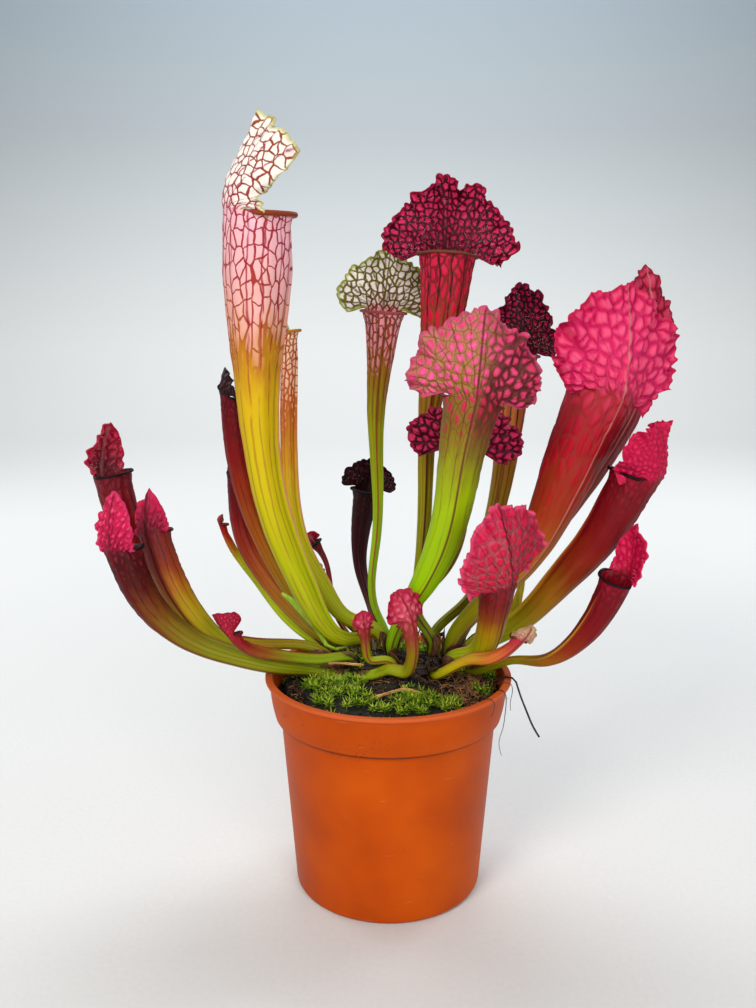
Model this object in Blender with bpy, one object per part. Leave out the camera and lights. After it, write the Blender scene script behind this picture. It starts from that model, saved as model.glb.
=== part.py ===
"""Trumpet pitcher plant in a 12 cm nursery pot.

Every leaf is a hollow tube with a mouth, a flared lip, a wing along its front and a ruffled
hood that grows on from the back of the mouth. The leaves stand on one rhizome, which sits in
a plain hole in the peat with its roots in holes below it. A moss mat covers the peat.

Sizes are in millimetres until a mesh is made. The origin is the centre of the pot's underside.
"""

import math
from dataclasses import dataclass

import bpy
import numpy as np

METRES = 0.001
SEAT_GAP = 0.3

# Pot: driving sizes of the moulded shell.
POT_HEIGHT = 107.5
POT_BEAD_RADIUS = 60.0
POT_BEAD_HEIGHT = 1.8
POT_BAND_TOP_RADIUS = 58.0
POT_BAND_LOW_RADIUS = 55.6
POT_BAND_BOTTOM = 87.0
POT_STEP_RADIUS = 52.6
POT_BASE_RADIUS = 46.0
POT_WALL = 1.5
POT_FLOOR = 1.8
POT_CORNER = 3.0
POT_EDGE = 0.9
POT_SIDES = 40
DRAIN_HOLES = 8
DRAIN_HOLE_RADIUS = 4.0
DRAIN_HOLE_CIRCLE = 33.0
DRAIN_HOLE_SIDES = 8
CUT_PAST = 3.0

# Peat, crown and moss.
PEAT_TOP = 97.0
PEAT_RIPPLE = 0.5
CROWN_CENTRE = np.array([6.0, 17.0, 103.0])
CROWN_HALF = np.array([34.0, 11.0, 9.0])
CROWN_KNOBS = 0.015
CROWN_AROUND = 18
CROWN_LEVELS = 8
CROWN_HOLE_MARGIN = 1.0
CROWN_HOLE_FLOOR = CROWN_CENTRE[2] - CROWN_HALF[2] - SEAT_GAP
ROOT_TOP_HEIGHT = 98.0
ROOT_TOP_RADIUS = 2.2
ROOT_TIP_RADIUS = 0.9
ROOT_SIDES = 6
ROOTS = (
    ((-14.0, 17.0), (-30.0, 20.0, 38.0)),
    ((-5.0, 14.0), (-12.0, -16.0, 22.0)),
    ((3.0, 20.0), (2.0, 36.0, 30.0)),
    ((11.0, 14.0), (15.0, -26.0, 44.0)),
    ((18.0, 20.0), (27.0, 30.0, 18.0)),
    ((26.0, 16.0), (37.0, 4.0, 40.0)),
)
GROUND_SPOKES = 36
GROUND_RINGS = 6
MOSS_LEAST = 0.9
MOSS_MOUND = 8.6
MOSS_REACH = 56.0
MOSS_TUFT = 1.1
MOSS_CLEARANCE = 0.6
MOSS_RISE_BESIDE_LEAF = 1.5
MOSS_SPACING = 4.0
HOLLOW_PLACE = (27.0, -16.0)
HOLLOW_RADIUS = 13.0
HOLLOW_DEPTH = 6.0

# Dead bits on the moss, each a list of x, y, z along the middle.
STALK_ROUTE = ((-9, -31, 105.6), (0, -27, 106.8), (8, -25, 107.7), (14, -27, 106.9), (19, -31, 105.7))
STALK_RADIUS = 0.8
SCRAP_ROUTE = ((-29, -2, 112.2), (-24, -3, 112.6), (-18, -3, 112.2), (-12, -4, 112.0))
SCRAP_WIDTH = 2.6
SCRAP_THICKNESS = 0.8
STRAY_ROOT_ROUTE = (
    (45, -6, 102.2), (50, -8, 104.6), (54, -10, 107.7), (57.5, -11.8, 108.8), (60.0, -13.1, 108.3),
    (61.4, -13.8, 105.5), (63.2, -14.8, 100), (66, -16, 93), (69, -17, 86), (72, -18, 81),
)
STRAY_ROOT_RADIUS = 0.5

# Leaves: sizes that all of them share.
LEAF_WALL = 0.9
HOOD_THICKNESS = 0.85
LEAF_STALK = 6.0
NECK_HALF_ANGLE = math.radians(62)
HOLLOW_SHARE = 0.5
RIB_DEPTH = 0.03
MARGIN_SCALLOP = 0.02
CELL_RELIEF = 0.35
MIDRIB_RISE = 0.7
BLADE_THICKNESS = 0.8
BLADE_ROWS = 10
FOOT_RADIUS = 2.0
LINE_STEPS = 240
HOOD_STEPS = 30
LIP_SPREAD = math.radians(25)
LEAST_BORE_RADIUS = 0.6


@dataclass
class Leaf:
    """One pitcher leaf. Lengths in mm, angles in degrees, directions round from +X.

    slot: place on the crown, degrees round and up.
    route: x, y, z of the tube's middle and its radius, from the crown to the mouth.
    faces: direction that the mouth faces. hood: its height and half-width.
    ears: how far round the hood spreads. tilt, arch: how the hood leans and bends forward.
    cup: how far its two sides turn forward. lean: how it leans sideways. shares: the sides'
    lengths against each other. fullness: how round its shoulders are. waist: how far the margin
    draws in below them, less than one for a hollow.
    """

    slot: tuple
    route: tuple
    faces: float
    hood: tuple
    colour: str
    size: str = "large"
    ears: float = 116.0
    ear_length: float = 0.62
    tilt: float = 0.0
    arch: float = 32.0
    cup: tuple = (12.0, 12.0)
    lean: float = 0.0
    wing: float = 2.2
    lip: float = 2.0
    slant: float = 2.0
    ruffle: float = 1.6
    shares: tuple = (1.0, 1.0)
    fullness: float = 0.5
    waist: float = 1.0


# Faces round the tube's back and front, tube rings, hood rays for each back face, hood rows.
DETAIL = {
    "large": (6, 6, 11, 4, 4),
    "middle": (4, 6, 9, 4, 3),
    "small": (4, 4, 8, 2, 2),
}

LEAVES = {
    "pitcher_tall_white": Leaf(
        slot=(170, 60),
        route=((-19, 13, 119, 2.8), (-41, 7, 145, 5.4), (-57, 0, 193, 6.6), (-61, -7, 259, 10.4),
               (-59, -9, 300, 14.8), (-58, -10, 323, 14.6)),
        faces=10, hood=(43, 24), colour="#8A7A2E", ears=104, tilt=24, arch=12, cup=(95, -60), wing=2.6,
        lip=3.0, slant=-1, shares=(1.0, 0.3), fullness=0.86, waist=0.42,
    ),
    "pitcher_narrow_white": Leaf(
        slot=(120, 60),
        route=((-21, 25, 126, 3.1), (-33, 30, 140, 3.5), (-43, 36, 157, 3.2), (-52, 46, 206, 3.4),
               (-50, 50, 271, 3.8)),
        faces=0, hood=(9, 6), colour="#8C8238", size="small", ears=60, tilt=-55, slant=-2.0,
    ),
    "pitcher_white_hood": Leaf(
        slot=(105, 50),
        route=((-6, 34, 128, 1.9), (-6, 50, 162, 2.4), (-6, 64, 230, 4.8), (-4, 68, 256, 6.9),
               (-2, 70, 283, 10.3)),
        faces=-90, hood=(31, 26), colour="#93A03C", cup=(5, 5), lean=3, wing=1.2,
    ),
    "pitcher_tall_crimson": Leaf(
        slot=(75, 50),
        route=((15, 30, 140, 2.8), (19, 40, 176, 3.6), (21, 48, 226, 5.2), (27, 52, 272, 10.3),
               (30, 52, 308, 13.7)),
        faces=-90, hood=(41, 35), colour="#A32B4E", ear_length=0.5, cup=(5, 5), lean=-2, wing=1.2,
        slant=-3, shares=(1.0, 1.1), fullness=0.42,
    ),
    "pitcher_pink_hood": Leaf(
        slot=(-105, 62),
        route=((6, 8, 130, 3.5), (17, -6, 154, 6.2), (27, -16, 182, 8.3), (32, -24, 216, 10.0),
               (37, -26, 243, 12.3)),
        faces=90, hood=(40, 31), colour="#B5703A", ears=108, ear_length=0.5, lean=7, wing=2.8,
        shares=(0.9, 1.0),
    ),
    "pitcher_dark_hood": Leaf(
        slot=(50, 45),
        route=((41, 34, 133, 2.6), (53, 46, 160, 4.2), (61, 54, 195, 5.8), (66, 60, 236, 7.9),
               (69, 62, 261, 9.5)),
        faces=-110, hood=(37, 23), colour="#6E1630", lean=-4, wing=1.4, shares=(1.0, 0.95),
        fullness=0.3,
    ),
    "pitcher_mid_crimson": Leaf(
        slot=(-20, 60),
        route=((15, 18, 130, 2.8), (27, 16, 157, 5.0), (34, 16, 187, 6.4), (37, 18, 214, 6.8)),
        faces=90, hood=(22, 32), colour="#9A2238", size="middle",
    ),
    "pitcher_great_crimson": Leaf(
        slot=(0, 45),
        route=((41, 14, 131, 4.5), (65, 10, 159, 7.4), (81, 8, 192, 11.4), (92, 8, 221, 14.3),
               (101, 8, 243, 15.6)),
        faces=118, hood=(53, 28), colour="#C01E45", tilt=8, arch=14, cup=(-20, 25), lean=20, wing=3.0,
        shares=(0.82, 0.9), fullness=0.68,
    ),
    "pitcher_great_crimson_back": Leaf(
        slot=(30, 25),
        route=((46, 26, 133, 3.6), (72, 34, 160, 6.2), (99, 40, 196, 8.8), (116, 42, 227, 10.7),
               (128, 44, 261, 11.7)),
        faces=115, hood=(43, 20), colour="#8E1530", arch=8, cup=(5, 5), lean=29, shares=(0.5, 1.0),
        fullness=0.42,
    ),
    "pitcher_right_arching": Leaf(
        slot=(-5, 22),
        route=((60, 8, 126, 4.5), (83, 0, 152, 6.5), (100, -6, 176, 8.5), (115, -8, 207, 11.1)),
        faces=170, hood=(27, 27), colour="#B01C45", size="middle", ears=110, tilt=22, arch=8,
        cup=(10, 100), fullness=0.8,
    ),
    "pitcher_right_open": Leaf(
        slot=(-18, 2),
        route=((61, 0, 113, 2.1), (74, -9, 116, 2.9), (87, -17, 127, 4.7), (97, -23, 144, 6.3),
               (104, -27, 163, 7.1)),
        faces=-150, hood=(25, 7.5), colour="#9A1C3C", size="middle", ears=100, lean=-10, lip=1.6,
        fullness=0.28,
    ),
    "pitcher_front_pink": Leaf(
        slot=(-40, 25),
        route=((42, -4, 117, 3.9), (46, -10, 124, 5.3), (48, -20, 140, 6.8), (49, -32, 162, 8.1)),
        faces=125, hood=(46, 20), colour="#B24A3E", size="middle", ears=104, ear_length=0.56, tilt=6,
        cup=(0, 25), lean=8, shares=(1.0, 0.86),
    ),
    "pitcher_front_withered": Leaf(
        slot=(-62, 5),
        route=((39, -15, 118, 2.1), (46, -22, 121, 2.6), (54, -27, 127, 2.5), (60, -31, 135, 2.5)),
        faces=110, hood=(9, 5.5), colour="#C8A23A", size="small", ears=100,
    ),
    "pitcher_front_small": Leaf(
        slot=(-122, 2),
        route=((-6, -1, 105.5, 1.7), (1, -5, 109, 1.8), (8, -9, 109.5, 2.2), (11, -12, 116, 2.6),
               (9, -13, 138, 3.8)),
        faces=120, hood=(16, 9), colour="#B0645A", size="small", ears=95, lean=10,
    ),
    "pitcher_front_bud": Leaf(
        slot=(-95, 25),
        route=((0, 0, 113, 2.0), (-9, -2, 114, 2.0), (-11, -3, 121, 2.2), (-12, -4, 132, 2.7)),
        faces=100, hood=(8, 4.5), colour="#C07A78", size="small", ears=80,
    ),
    "pitcher_left_open": Leaf(
        slot=(178, 15),
        route=((-60, 18, 115, 2.5), (-93, 21, 121, 4.1), (-121, 24, 150, 7.1), (-135, 26, 186, 8.5),
               (-138, 26, 202, 9.0)),
        faces=-35, hood=(26, 6.5), colour="#7C1838", size="middle", ears=80, tilt=8, lean=16, lip=1.6,
        slant=0.0, fullness=0.33,
    ),
    "pitcher_left_outer": Leaf(
        slot=(-142, 0),
        route=((-35, 2, 106, 2.2), (-50, -6, 111, 3.2), (-71, -10, 117, 3.8), (-94, -13, 127, 4.7),
               (-114, -16, 149, 7.0), (-123, -18, 174, 7.8)),
        faces=60, hood=(29, 8.0), colour="#A82440", size="middle", ears=100, ear_length=2.0, lean=-24,
        wing=3.4, fullness=0.3,
    ),
    "pitcher_left_inner": Leaf(
        slot=(-158, 12),
        route=((-39, 9, 108, 2.3), (-53, 4, 112, 3.2), (-75, 2, 118, 4.2), (-95, 0, 136, 6.3),
               (-107, -1, 160, 7.2), (-112, -2, 179, 7.1)),
        faces=75, hood=(21, 8.5), colour="#A04A36", size="middle", ears=100, lean=-14,
        shares=(0.85, 0.35), fullness=0.42,
    ),
    "pitcher_left_bud": Leaf(
        slot=(-140, 28),
        route=((-30, 0, 113, 1.6), (-43, -5, 115, 1.7), (-54, -12, 119, 1.9), (-63, -17, 123, 2.1),
               (-68, -20, 127, 2.1), (-73, -22, 134, 2.5)),
        faces=45, hood=(12, 7), colour="#B02A48", size="small", ears=70, arch=30, cup=(60, 60),
        lean=3.0, fullness=0.75,
    ),
    "pitcher_maroon_left": Leaf(
        slot=(165, 30),
        route=((-38, 22, 126, 3.2), (-49, 25, 140, 3.8), (-70, 30, 186, 5.7), (-76, 31, 218, 6.3),
               (-77, 32, 240, 6.5)),
        faces=10, hood=(13, 14), colour="#6A1E2E", size="middle", ears=100, tilt=8, cup=(30, -30),
    ),
    "pitcher_maroon_low": Leaf(
        slot=(138, 18),
        route=((-29, 27, 114, 3.0), (-44, 32, 124, 4.3), (-66, 44, 147, 5.3), (-75, 50, 162, 5.6),
               (-79, 54, 195, 5.6)),
        faces=10, hood=(8, 8), colour="#7A2A30", size="middle", ears=80,
    ),
    "pitcher_green_curl": Leaf(
        slot=(152, 5),
        route=((-46, 34, 116, 1.4), (-73, 56, 140, 1.4), (-86, 64, 156, 1.5), (-91, 66, 169, 1.7)),
        faces=0, hood=(5, 5), colour="#7E8A32", size="small", ears=100, tilt=30, arch=60,
    ),
    "pitcher_tiny_red": Leaf(
        slot=(115, 20),
        route=((-24, 42, 121, 1.4), (-30, 47, 135, 1.4), (-33, 54, 149, 1.4), (-40, 58, 160, 2.2)),
        faces=-90, hood=(5, 4.5), colour="#8A1A2E", size="small", ears=80,
    ),
    "pitcher_tiny_curl": Leaf(
        slot=(124, 12),
        route=((-24, 34, 120, 1.3), (-30, 37, 133, 1.3), (-35, 42, 143, 1.3), (-37, 44, 148, 1.4)),
        faces=-90, hood=(3.5, 3), colour="#7E1A2A", size="small", ears=80,
    ),
    "pitcher_black_hood": Leaf(
        slot=(95, 8),
        route=((-6, 50, 116, 2.1), (-9, 62, 122, 2.3), (-15, 78, 141, 3.7), (-15, 84, 158, 5.1),
               (-11, 88, 184, 7.4)),
        faces=-90, hood=(16, 16), colour="#3E0E1C", size="middle", ears=104,
    ),
}

# Flat sword leaves with no pitcher: x, y, z and half-width along the middle, and the broad face.
BLADES = {
    "sword_leaf_yellow": dict(
        slot=(20, 5),
        route=((46, 20, 111, 1.8), (56, 22, 117, 2.2), (63, 24, 127, 2.8), (67, 26, 138, 2.2),
               (70, 28, 149, 0.8)),
        faces=-90,
        colour="#B9A516",
    ),
    "sword_leaf_green": dict(
        slot=(-173, 42),
        route=((-27, 13, 114, 1.0), (-34, 12, 122, 1.0), (-42, 11, 133, 1.4), (-48, 12, 140, 1.5),
               (-53, 14, 143, 0.7)),
        faces=-90,
        colour="#8FA52A",
    ),
}


def clear_scene():
    for item in list(bpy.data.objects):
        bpy.data.objects.remove(item, do_unlink=True)


def linear(code):
    """A #RRGGBB colour as linear red, green, blue and alpha."""
    channels = [int(code[i : i + 2], 16) / 255 for i in (1, 3, 5)]
    return [c / 12.92 if c <= 0.04045 else ((c + 0.055) / 1.055) ** 2.4 for c in channels] + [1.0]


def surface(name, code, roughness):
    material = bpy.data.materials.new(name)
    material.use_nodes = True
    shader = material.node_tree.nodes["Principled BSDF"]
    shader.inputs["Base Color"].default_value = linear(code)
    shader.inputs["Roughness"].default_value = roughness
    shader.inputs["Metallic"].default_value = 0.0
    return material


def enclosed_volume(points, faces):
    corners = points[np.array(faces)]
    return np.einsum("ij,ij->i", corners[:, 0], np.cross(corners[:, 1], corners[:, 2])).sum() / 6


def solid(name, points, faces, material, smooth_angle=math.radians(50)):
    """An object from points in mm and triangles, with its faces turned outwards."""
    points = np.asarray(points, float)
    if enclosed_volume(points, faces) < 0:
        faces = [face[::-1] for face in faces]
    mesh = bpy.data.meshes.new(name)
    mesh.from_pydata((points * METRES).tolist(), [], [tuple(face) for face in faces])
    mesh.materials.append(material)
    mesh.shade_smooth()
    mesh.set_sharp_from_angle(angle=smooth_angle)
    item = bpy.data.objects.new(name, mesh)
    bpy.context.collection.objects.link(item)
    return item


def joined_rows(lower, upper, outward=True):
    """Triangles between two rows of point numbers of one length, all split the same way."""
    faces = []
    for k in range(len(lower) - 1):
        faces.append((lower[k], lower[k + 1], upper[k + 1]))
        faces.append((lower[k], upper[k + 1], upper[k]))
    return faces if outward else [face[::-1] for face in faces]


def fanned_rows(lower, upper, outward=True):
    """Triangles from a row to one with several times as many spaces."""
    share = (len(upper) - 1) // (len(lower) - 1)
    middle = (share + 1) // 2
    faces = []
    for k in range(len(lower) - 1):
        for j in range(share):
            corner = lower[k] if j < middle else lower[k + 1]
            faces.append((corner, upper[k * share + j + 1], upper[k * share + j]))
        faces.append((lower[k], lower[k + 1], upper[k * share + middle]))
    return faces if outward else [face[::-1] for face in faces]


def unit(vectors):
    return vectors / np.linalg.norm(vectors, axis=-1, keepdims=True)


def smooth_step(value):
    value = np.clip(value, 0, 1)
    return value * value * (3 - 2 * value)


def smooth_curve(knots, values, at):
    """A natural cubic spline through the values at the knots, read at the given places."""
    gaps = np.diff(knots)
    slopes = np.diff(values, axis=0) / gaps[:, None]
    count = len(knots)
    system = np.eye(count)
    wanted = np.zeros_like(values)
    for i in range(1, count - 1):
        system[i, i - 1] = gaps[i - 1]
        system[i, i] = 2 * (gaps[i - 1] + gaps[i])
        system[i, i + 1] = gaps[i]
        wanted[i] = 6 * (slopes[i] - slopes[i - 1])
    bend = np.linalg.solve(system, wanted)
    piece = np.clip(np.searchsorted(knots, at) - 1, 0, count - 2)
    gap = gaps[piece][:, None]
    before = (knots[piece + 1] - at)[:, None] / gap
    after = (at - knots[piece])[:, None] / gap
    curved = (before**3 - before) * bend[piece] + (after**3 - after) * bend[piece + 1]
    return before * values[piece] + after * values[piece + 1] + curved * gap**2 / 6


def travelled(points):
    return np.concatenate([[0], np.cumsum(np.linalg.norm(np.diff(points, axis=0), axis=1))])


def drawn_through(points, count):
    """Evenly spaced rows of a smooth curve through x, y, z and any values kept with them."""
    knots = np.array(points, float)
    at = travelled(knots[:, :3])
    return smooth_curve(at, knots, np.linspace(0, at[-1], count))


def crown_slot(slot):
    """The point on the crown where a leaf grows, and the way out of the crown there."""
    round_angle, rise_angle = (math.radians(angle) for angle in slot)
    place = np.array([
        math.cos(rise_angle) * math.cos(round_angle),
        math.cos(rise_angle) * math.sin(round_angle),
        math.sin(rise_angle),
    ])
    return CROWN_CENTRE + CROWN_HALF * place, unit(place / CROWN_HALF)


def leaf_knots(slot, route):
    """The route with the leaf's foot on the crown and its short stalk before it."""
    foot, out = crown_slot(slot)
    first = route[0]
    foot_radius = min(FOOT_RADIUS, 0.75 * first[3])
    return [
        (*(foot + out * SEAT_GAP), foot_radius),
        (*(foot + out * LEAF_STALK), 0.5 * (foot_radius + first[3])),
        *route,
    ], out


def centre_line(slot, route, faces, rings):
    """Evenly spaced points up a leaf with their radius, direction and front."""
    knots, out = leaf_knots(slot, route)
    dense = drawn_through(knots, LINE_STEPS)
    along = travelled(dense[:, :3])
    direction = unit(np.gradient(dense[:, :3], along, axis=0))
    direction[0] = out
    front = np.zeros_like(direction)
    angle = math.radians(faces)
    carried = np.array([math.cos(angle), math.sin(angle), 0.0])
    for i in reversed(range(len(dense))):
        carried = unit(carried - direction[i] * carried.dot(direction[i]))
        front[i] = carried
    at = np.linspace(0, along[-1], rings)
    read = [np.interp(at, along, column) for column in dense.T]
    tangent = unit(np.stack([np.interp(at, along, column) for column in direction.T], axis=1))
    facing = np.stack([np.interp(at, along, column) for column in front.T], axis=1)
    facing = unit(facing - tangent * (facing * tangent).sum(axis=1)[:, None])
    return np.stack(read[:3], axis=1), np.array(read[3]), tangent, facing


def hood_rays(leaf, start, across, mouth_radius, tangent, facing, side, rows):
    """Points of the hood's middle sheet, row by row from the neck to the margin."""
    height, half_width = leaf.hood
    lean = math.radians(leaf.lean)
    up = unit(tangent * math.cos(lean) + side * math.sin(lean))
    sideways = unit(side * math.cos(lean) - tangent * math.sin(lean))
    spread = math.radians(leaf.ears) * across
    side_reach = half_width - 0.8 * mouth_radius * math.sin(NECK_HALF_ANGLE)
    shoulder = leaf.fullness * height + 0.5 * side_reach
    lengths = np.interp(
        abs(np.degrees(spread)),
        (0, 45, 56, 90, 116),
        (height, shoulder, leaf.waist * (0.75 * shoulder + 0.25 * side_reach), side_reach,
         leaf.ear_length * side_reach),
    )
    lengths = lengths * np.where(across < 0, *leaf.shares) ** abs(np.sin(spread))
    turned = np.radians(np.where(across < 0, *leaf.cup)) * across
    upright = np.clip(np.cos(spread), 0, 1)
    steps = HOOD_STEPS
    point = start.copy()
    sheet = [start.copy()]
    for step in range(steps):
        share = (step + 0.5) / steps
        opened = smooth_step(share / 0.45)
        turn = spread * (0.55 + 0.45 * opened)
        bow = across * NECK_HALF_ANGLE * (1 - opened) + turned * opened
        nod = np.radians(leaf.tilt * opened + leaf.arch * share**2 * upright)
        ahead = up * np.cos(nod)[:, None] + facing * np.sin(nod)[:, None]
        face = facing * np.cos(nod)[:, None] - up * np.sin(nod)[:, None]
        outward = sideways * np.cos(bow)[:, None] + face * np.sin(bow)[:, None]
        stride = ahead * np.cos(turn)[:, None] + outward * np.sin(turn)[:, None]
        point = point + stride * (lengths[:, None] / steps)
        sheet.append(point.copy())
    sheet = np.array(sheet)
    wanted = np.linspace(0, steps, rows + 1)[1:]
    low = np.minimum(wanted.astype(int), steps - 1)
    part_way = (wanted - low)[:, None, None]
    return sheet[low] * (1 - part_way) + sheet[low + 1] * part_way


def sheet_normals(grid, backward):
    along = np.gradient(grid, axis=0)
    around = np.gradient(grid, axis=1)
    normal = unit(np.cross(along, around))
    middle = grid.shape[1] // 2
    return normal if normal[0, middle] @ backward > 0 else -normal


def hood_sheet(leaf, start, across, mouth_radius, frame, rows):
    """The hood's middle sheet and its normals, with the margin's ruffles, the cells and the midrib."""
    tangent, facing, side = frame
    middle = hood_rays(leaf, start, across, mouth_radius, tangent, facing, side, rows)
    grid = np.concatenate([start[None], middle])
    normal = sheet_normals(grid, -facing)
    share = np.linspace(0, 1, rows + 1)[:, None]
    ray = np.arange(len(across))
    swing = np.where((ray // 2) % 2 == 0, 1.0, -1.0)
    cells = np.where((ray[None, :] + np.arange(rows + 1)[:, None]) % 2 == 0, 1.0, -1.0)
    size = min(1.0, leaf.hood[1] / 30)
    lift = leaf.ruffle * size * share**2.5 * swing
    lift = lift + CELL_RELIEF * size * cells * (share > 0.1) * (share < 0.9)
    lift = lift + MIDRIB_RISE * size * (abs(across) < 0.01) * (share > 0.01) * (1 - 0.6 * share)
    scallop = MARGIN_SCALLOP * np.where(ray % 2 == 0, 1, -1) * rows
    grid[-1] = grid[-2] + (grid[-1] - grid[-2]) * (1 + scallop[:, None])
    return grid + normal * lift[..., None], normal


def leaf_solid(name, leaf):
    """One leaf: outer wall, inner wall, hood and the strip that joins them along lip and margin."""
    back_faces, front_faces, rings, rays_each, rows = DETAIL[leaf.size]
    centre, radius, tangent, facing = centre_line(leaf.slot, leaf.route, leaf.faces, rings)
    side = np.cross(tangent, facing)
    back_angles = np.linspace(-NECK_HALF_ANGLE, NECK_HALF_ANGLE, back_faces + 1)
    front_angles = np.linspace(NECK_HALF_ANGLE, 2 * math.pi - NECK_HALF_ANGLE, front_faces + 1)[1:-1]
    ring_angles = np.concatenate([back_angles, front_angles])
    from_back = abs(np.where(ring_angles > math.pi, ring_angles - 2 * math.pi, ring_angles))
    front_share = np.clip((from_back - NECK_HALF_ANGLE) / LIP_SPREAD, 0, 1)
    count = len(ring_angles)
    rib = 1 + RIB_DEPTH * np.where(np.arange(count) % 2 == 0, 1, -1)
    front_most = np.argmin(abs(ring_angles - math.pi))
    progress = np.linspace(0, 1, rings)
    points = []
    faces = []

    def add(new):
        first = len(points)
        points.extend(new)
        return list(range(first, len(points)))

    def ring(i, inset, flare, lift, wing):
        reach = (radius[i] - inset) * rib + flare * front_share
        reach[front_most] += wing
        low = smooth_step((progress[i] - 0.7) / 0.3) * leaf.slant * (1 - np.cos(ring_angles)) / 2
        height = lift * front_share - low
        outward = side[i] * np.sin(ring_angles)[:, None] - facing[i] * np.cos(ring_angles)[:, None]
        return centre[i] + outward * reach[:, None] + tangent[i] * height[:, None]

    outer_rings = []
    for i in range(rings - 1):
        fade = math.sin(math.pi * min(1.0, 0.06 + 0.9 * progress[i])) ** 0.6
        outer_rings.append(add(ring(i, 0.0, 0.0, 0.0, leaf.wing * fade)))
    outer_rings.append(add(ring(rings - 1, 0.0, leaf.lip, -0.3 * leaf.lip, 0.0)))
    for lower, upper in zip(outer_rings, outer_rings[1:]):
        faces += joined_rows(lower + lower[:1], upper + upper[:1])
    bottom = outer_rings[0]
    faces += [(bottom[0], bottom[k + 1], bottom[k]) for k in range(1, count - 1)]

    inner_rings = [add(ring(rings - 1, LEAF_WALL, 0.55 * leaf.lip, 0.5 * leaf.lip, 0.0))]
    for i in range(rings - 2, 0, -1):
        if progress[i] >= 1 - HOLLOW_SHARE and radius[i] > LEAF_WALL + LEAST_BORE_RADIUS:
            inner_rings.append(add(ring(i, LEAF_WALL, 0.0, 0.0, 0.0)))
    for upper, lower in zip(inner_rings, inner_rings[1:]):
        faces += joined_rows(lower + lower[:1], upper + upper[:1], outward=False)
    floor = inner_rings[-1]
    faces += [(floor[0], floor[k], floor[k + 1]) for k in range(1, count - 1)]

    outer_neck = outer_rings[-1][: back_faces + 1]
    inner_neck = inner_rings[0][: back_faces + 1]
    across = np.linspace(-1, 1, back_faces * rays_each + 1)
    neck = (np.array([points[k] for k in outer_neck]) + np.array([points[k] for k in inner_neck])) / 2
    place = np.linspace(-1, 1, back_faces + 1)
    start = np.stack([np.interp(across, place, neck[:, axis]) for axis in range(3)], axis=1)
    frame = (tangent[-1], facing[-1], side[-1])
    grid, normal = hood_sheet(leaf, start, across, radius[-1], frame, rows)

    outer_hood = [add(grid[r] + normal[r] * HOOD_THICKNESS / 2) for r in range(1, rows + 1)]
    inner_hood = [add(grid[r] - normal[r] * HOOD_THICKNESS / 2) for r in range(1, rows + 1)]
    for neck_row, hood, outward in ((outer_neck, outer_hood, True), (inner_neck, inner_hood, False)):
        faces += fanned_rows(neck_row, hood[0], outward)
        for lower, upper in zip(hood, hood[1:]):
            faces += joined_rows(lower, upper, outward)

    def edge(mouth, hood):
        """The lip's front from the right of the neck to its left, then round the hood's margin."""
        left_side = [row[0] for row in hood]
        right_side = [row[-1] for row in hood[-2::-1]]
        return mouth[back_faces:] + mouth[:1] + left_side + hood[-1][1:] + right_side + [mouth[back_faces]]

    faces += joined_rows(edge(outer_rings[-1], outer_hood), edge(inner_rings[0], inner_hood))
    return solid(name, points, faces, surface(name + "_leaf", leaf.colour, 0.4))


def blade_solid(name, slot, route, faces, colour):
    """A flat sword leaf: four edges along a middle line, pointed at its tip."""
    rows = BLADE_ROWS
    centre, half_width, tangent, facing = centre_line(slot, route, faces, rows)
    side = np.cross(tangent, facing)
    points = []
    for i in range(rows):
        across = side[i] * half_width[i]
        keel = facing[i] * BLADE_THICKNESS / 2
        points += [centre[i] - across, centre[i] - keel, centre[i] + across, centre[i] + keel]
    triangles = []
    for i in range(rows - 1):
        lower = [4 * i + k for k in (0, 1, 2, 3, 0)]
        upper = [k + 4 for k in lower]
        triangles += joined_rows(lower, upper)
    last = 4 * (rows - 1)
    triangles += [(0, 2, 1), (0, 3, 2), (last, last + 1, last + 2), (last, last + 2, last + 3)]
    return solid(name, points, triangles, surface(name + "_leaf", colour, 0.4))


def turned(name, profile, sides, material):
    """A solid turned round Z from a profile of radius and height that starts and ends on the axis."""
    points = [np.array([0.0, 0.0, profile[0][1]])]
    rows = []
    for radius, height in profile[1:-1]:
        first = len(points)
        for k in range(sides):
            angle = 2 * math.pi * k / sides
            points.append(np.array([radius * math.cos(angle), radius * math.sin(angle), height]))
        rows.append(list(range(first, first + sides)) + [first])
    points.append(np.array([0.0, 0.0, profile[-1][1]]))
    top = len(points) - 1
    faces = [(0, rows[0][k + 1], rows[0][k]) for k in range(sides)]
    for lower, upper in zip(rows, rows[1:]):
        faces += joined_rows(lower, upper)
    faces += [(top, rows[-1][k], rows[-1][k + 1]) for k in range(sides)]
    return solid(name, points, faces, material, math.radians(30))


def wall_radius(height):
    """The pot's inner radius at a height."""
    if height < POT_BAND_BOTTOM + POT_WALL:
        low, high, start, end = POT_BASE_RADIUS, POT_STEP_RADIUS, 0.0, POT_BAND_BOTTOM
    else:
        low, high, start, end = POT_BAND_LOW_RADIUS, POT_BAND_TOP_RADIUS, POT_BAND_BOTTOM, POT_HEIGHT
    return low + (high - low) * (height - start) / (end - start) - POT_WALL


def inner_wall():
    """Radius and height at the corners of the pot's inside, from its floor to above the step."""
    above_step = POT_BAND_BOTTOM + POT_WALL
    above_floor = POT_FLOOR + POT_CORNER - POT_WALL
    return [
        (wall_radius(POT_FLOOR) - POT_CORNER + POT_WALL, POT_FLOOR),
        (wall_radius(above_floor), above_floor),
        (POT_STEP_RADIUS - POT_WALL, POT_BAND_BOTTOM - POT_EDGE),
        (wall_radius(above_step), above_step),
    ]


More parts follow.
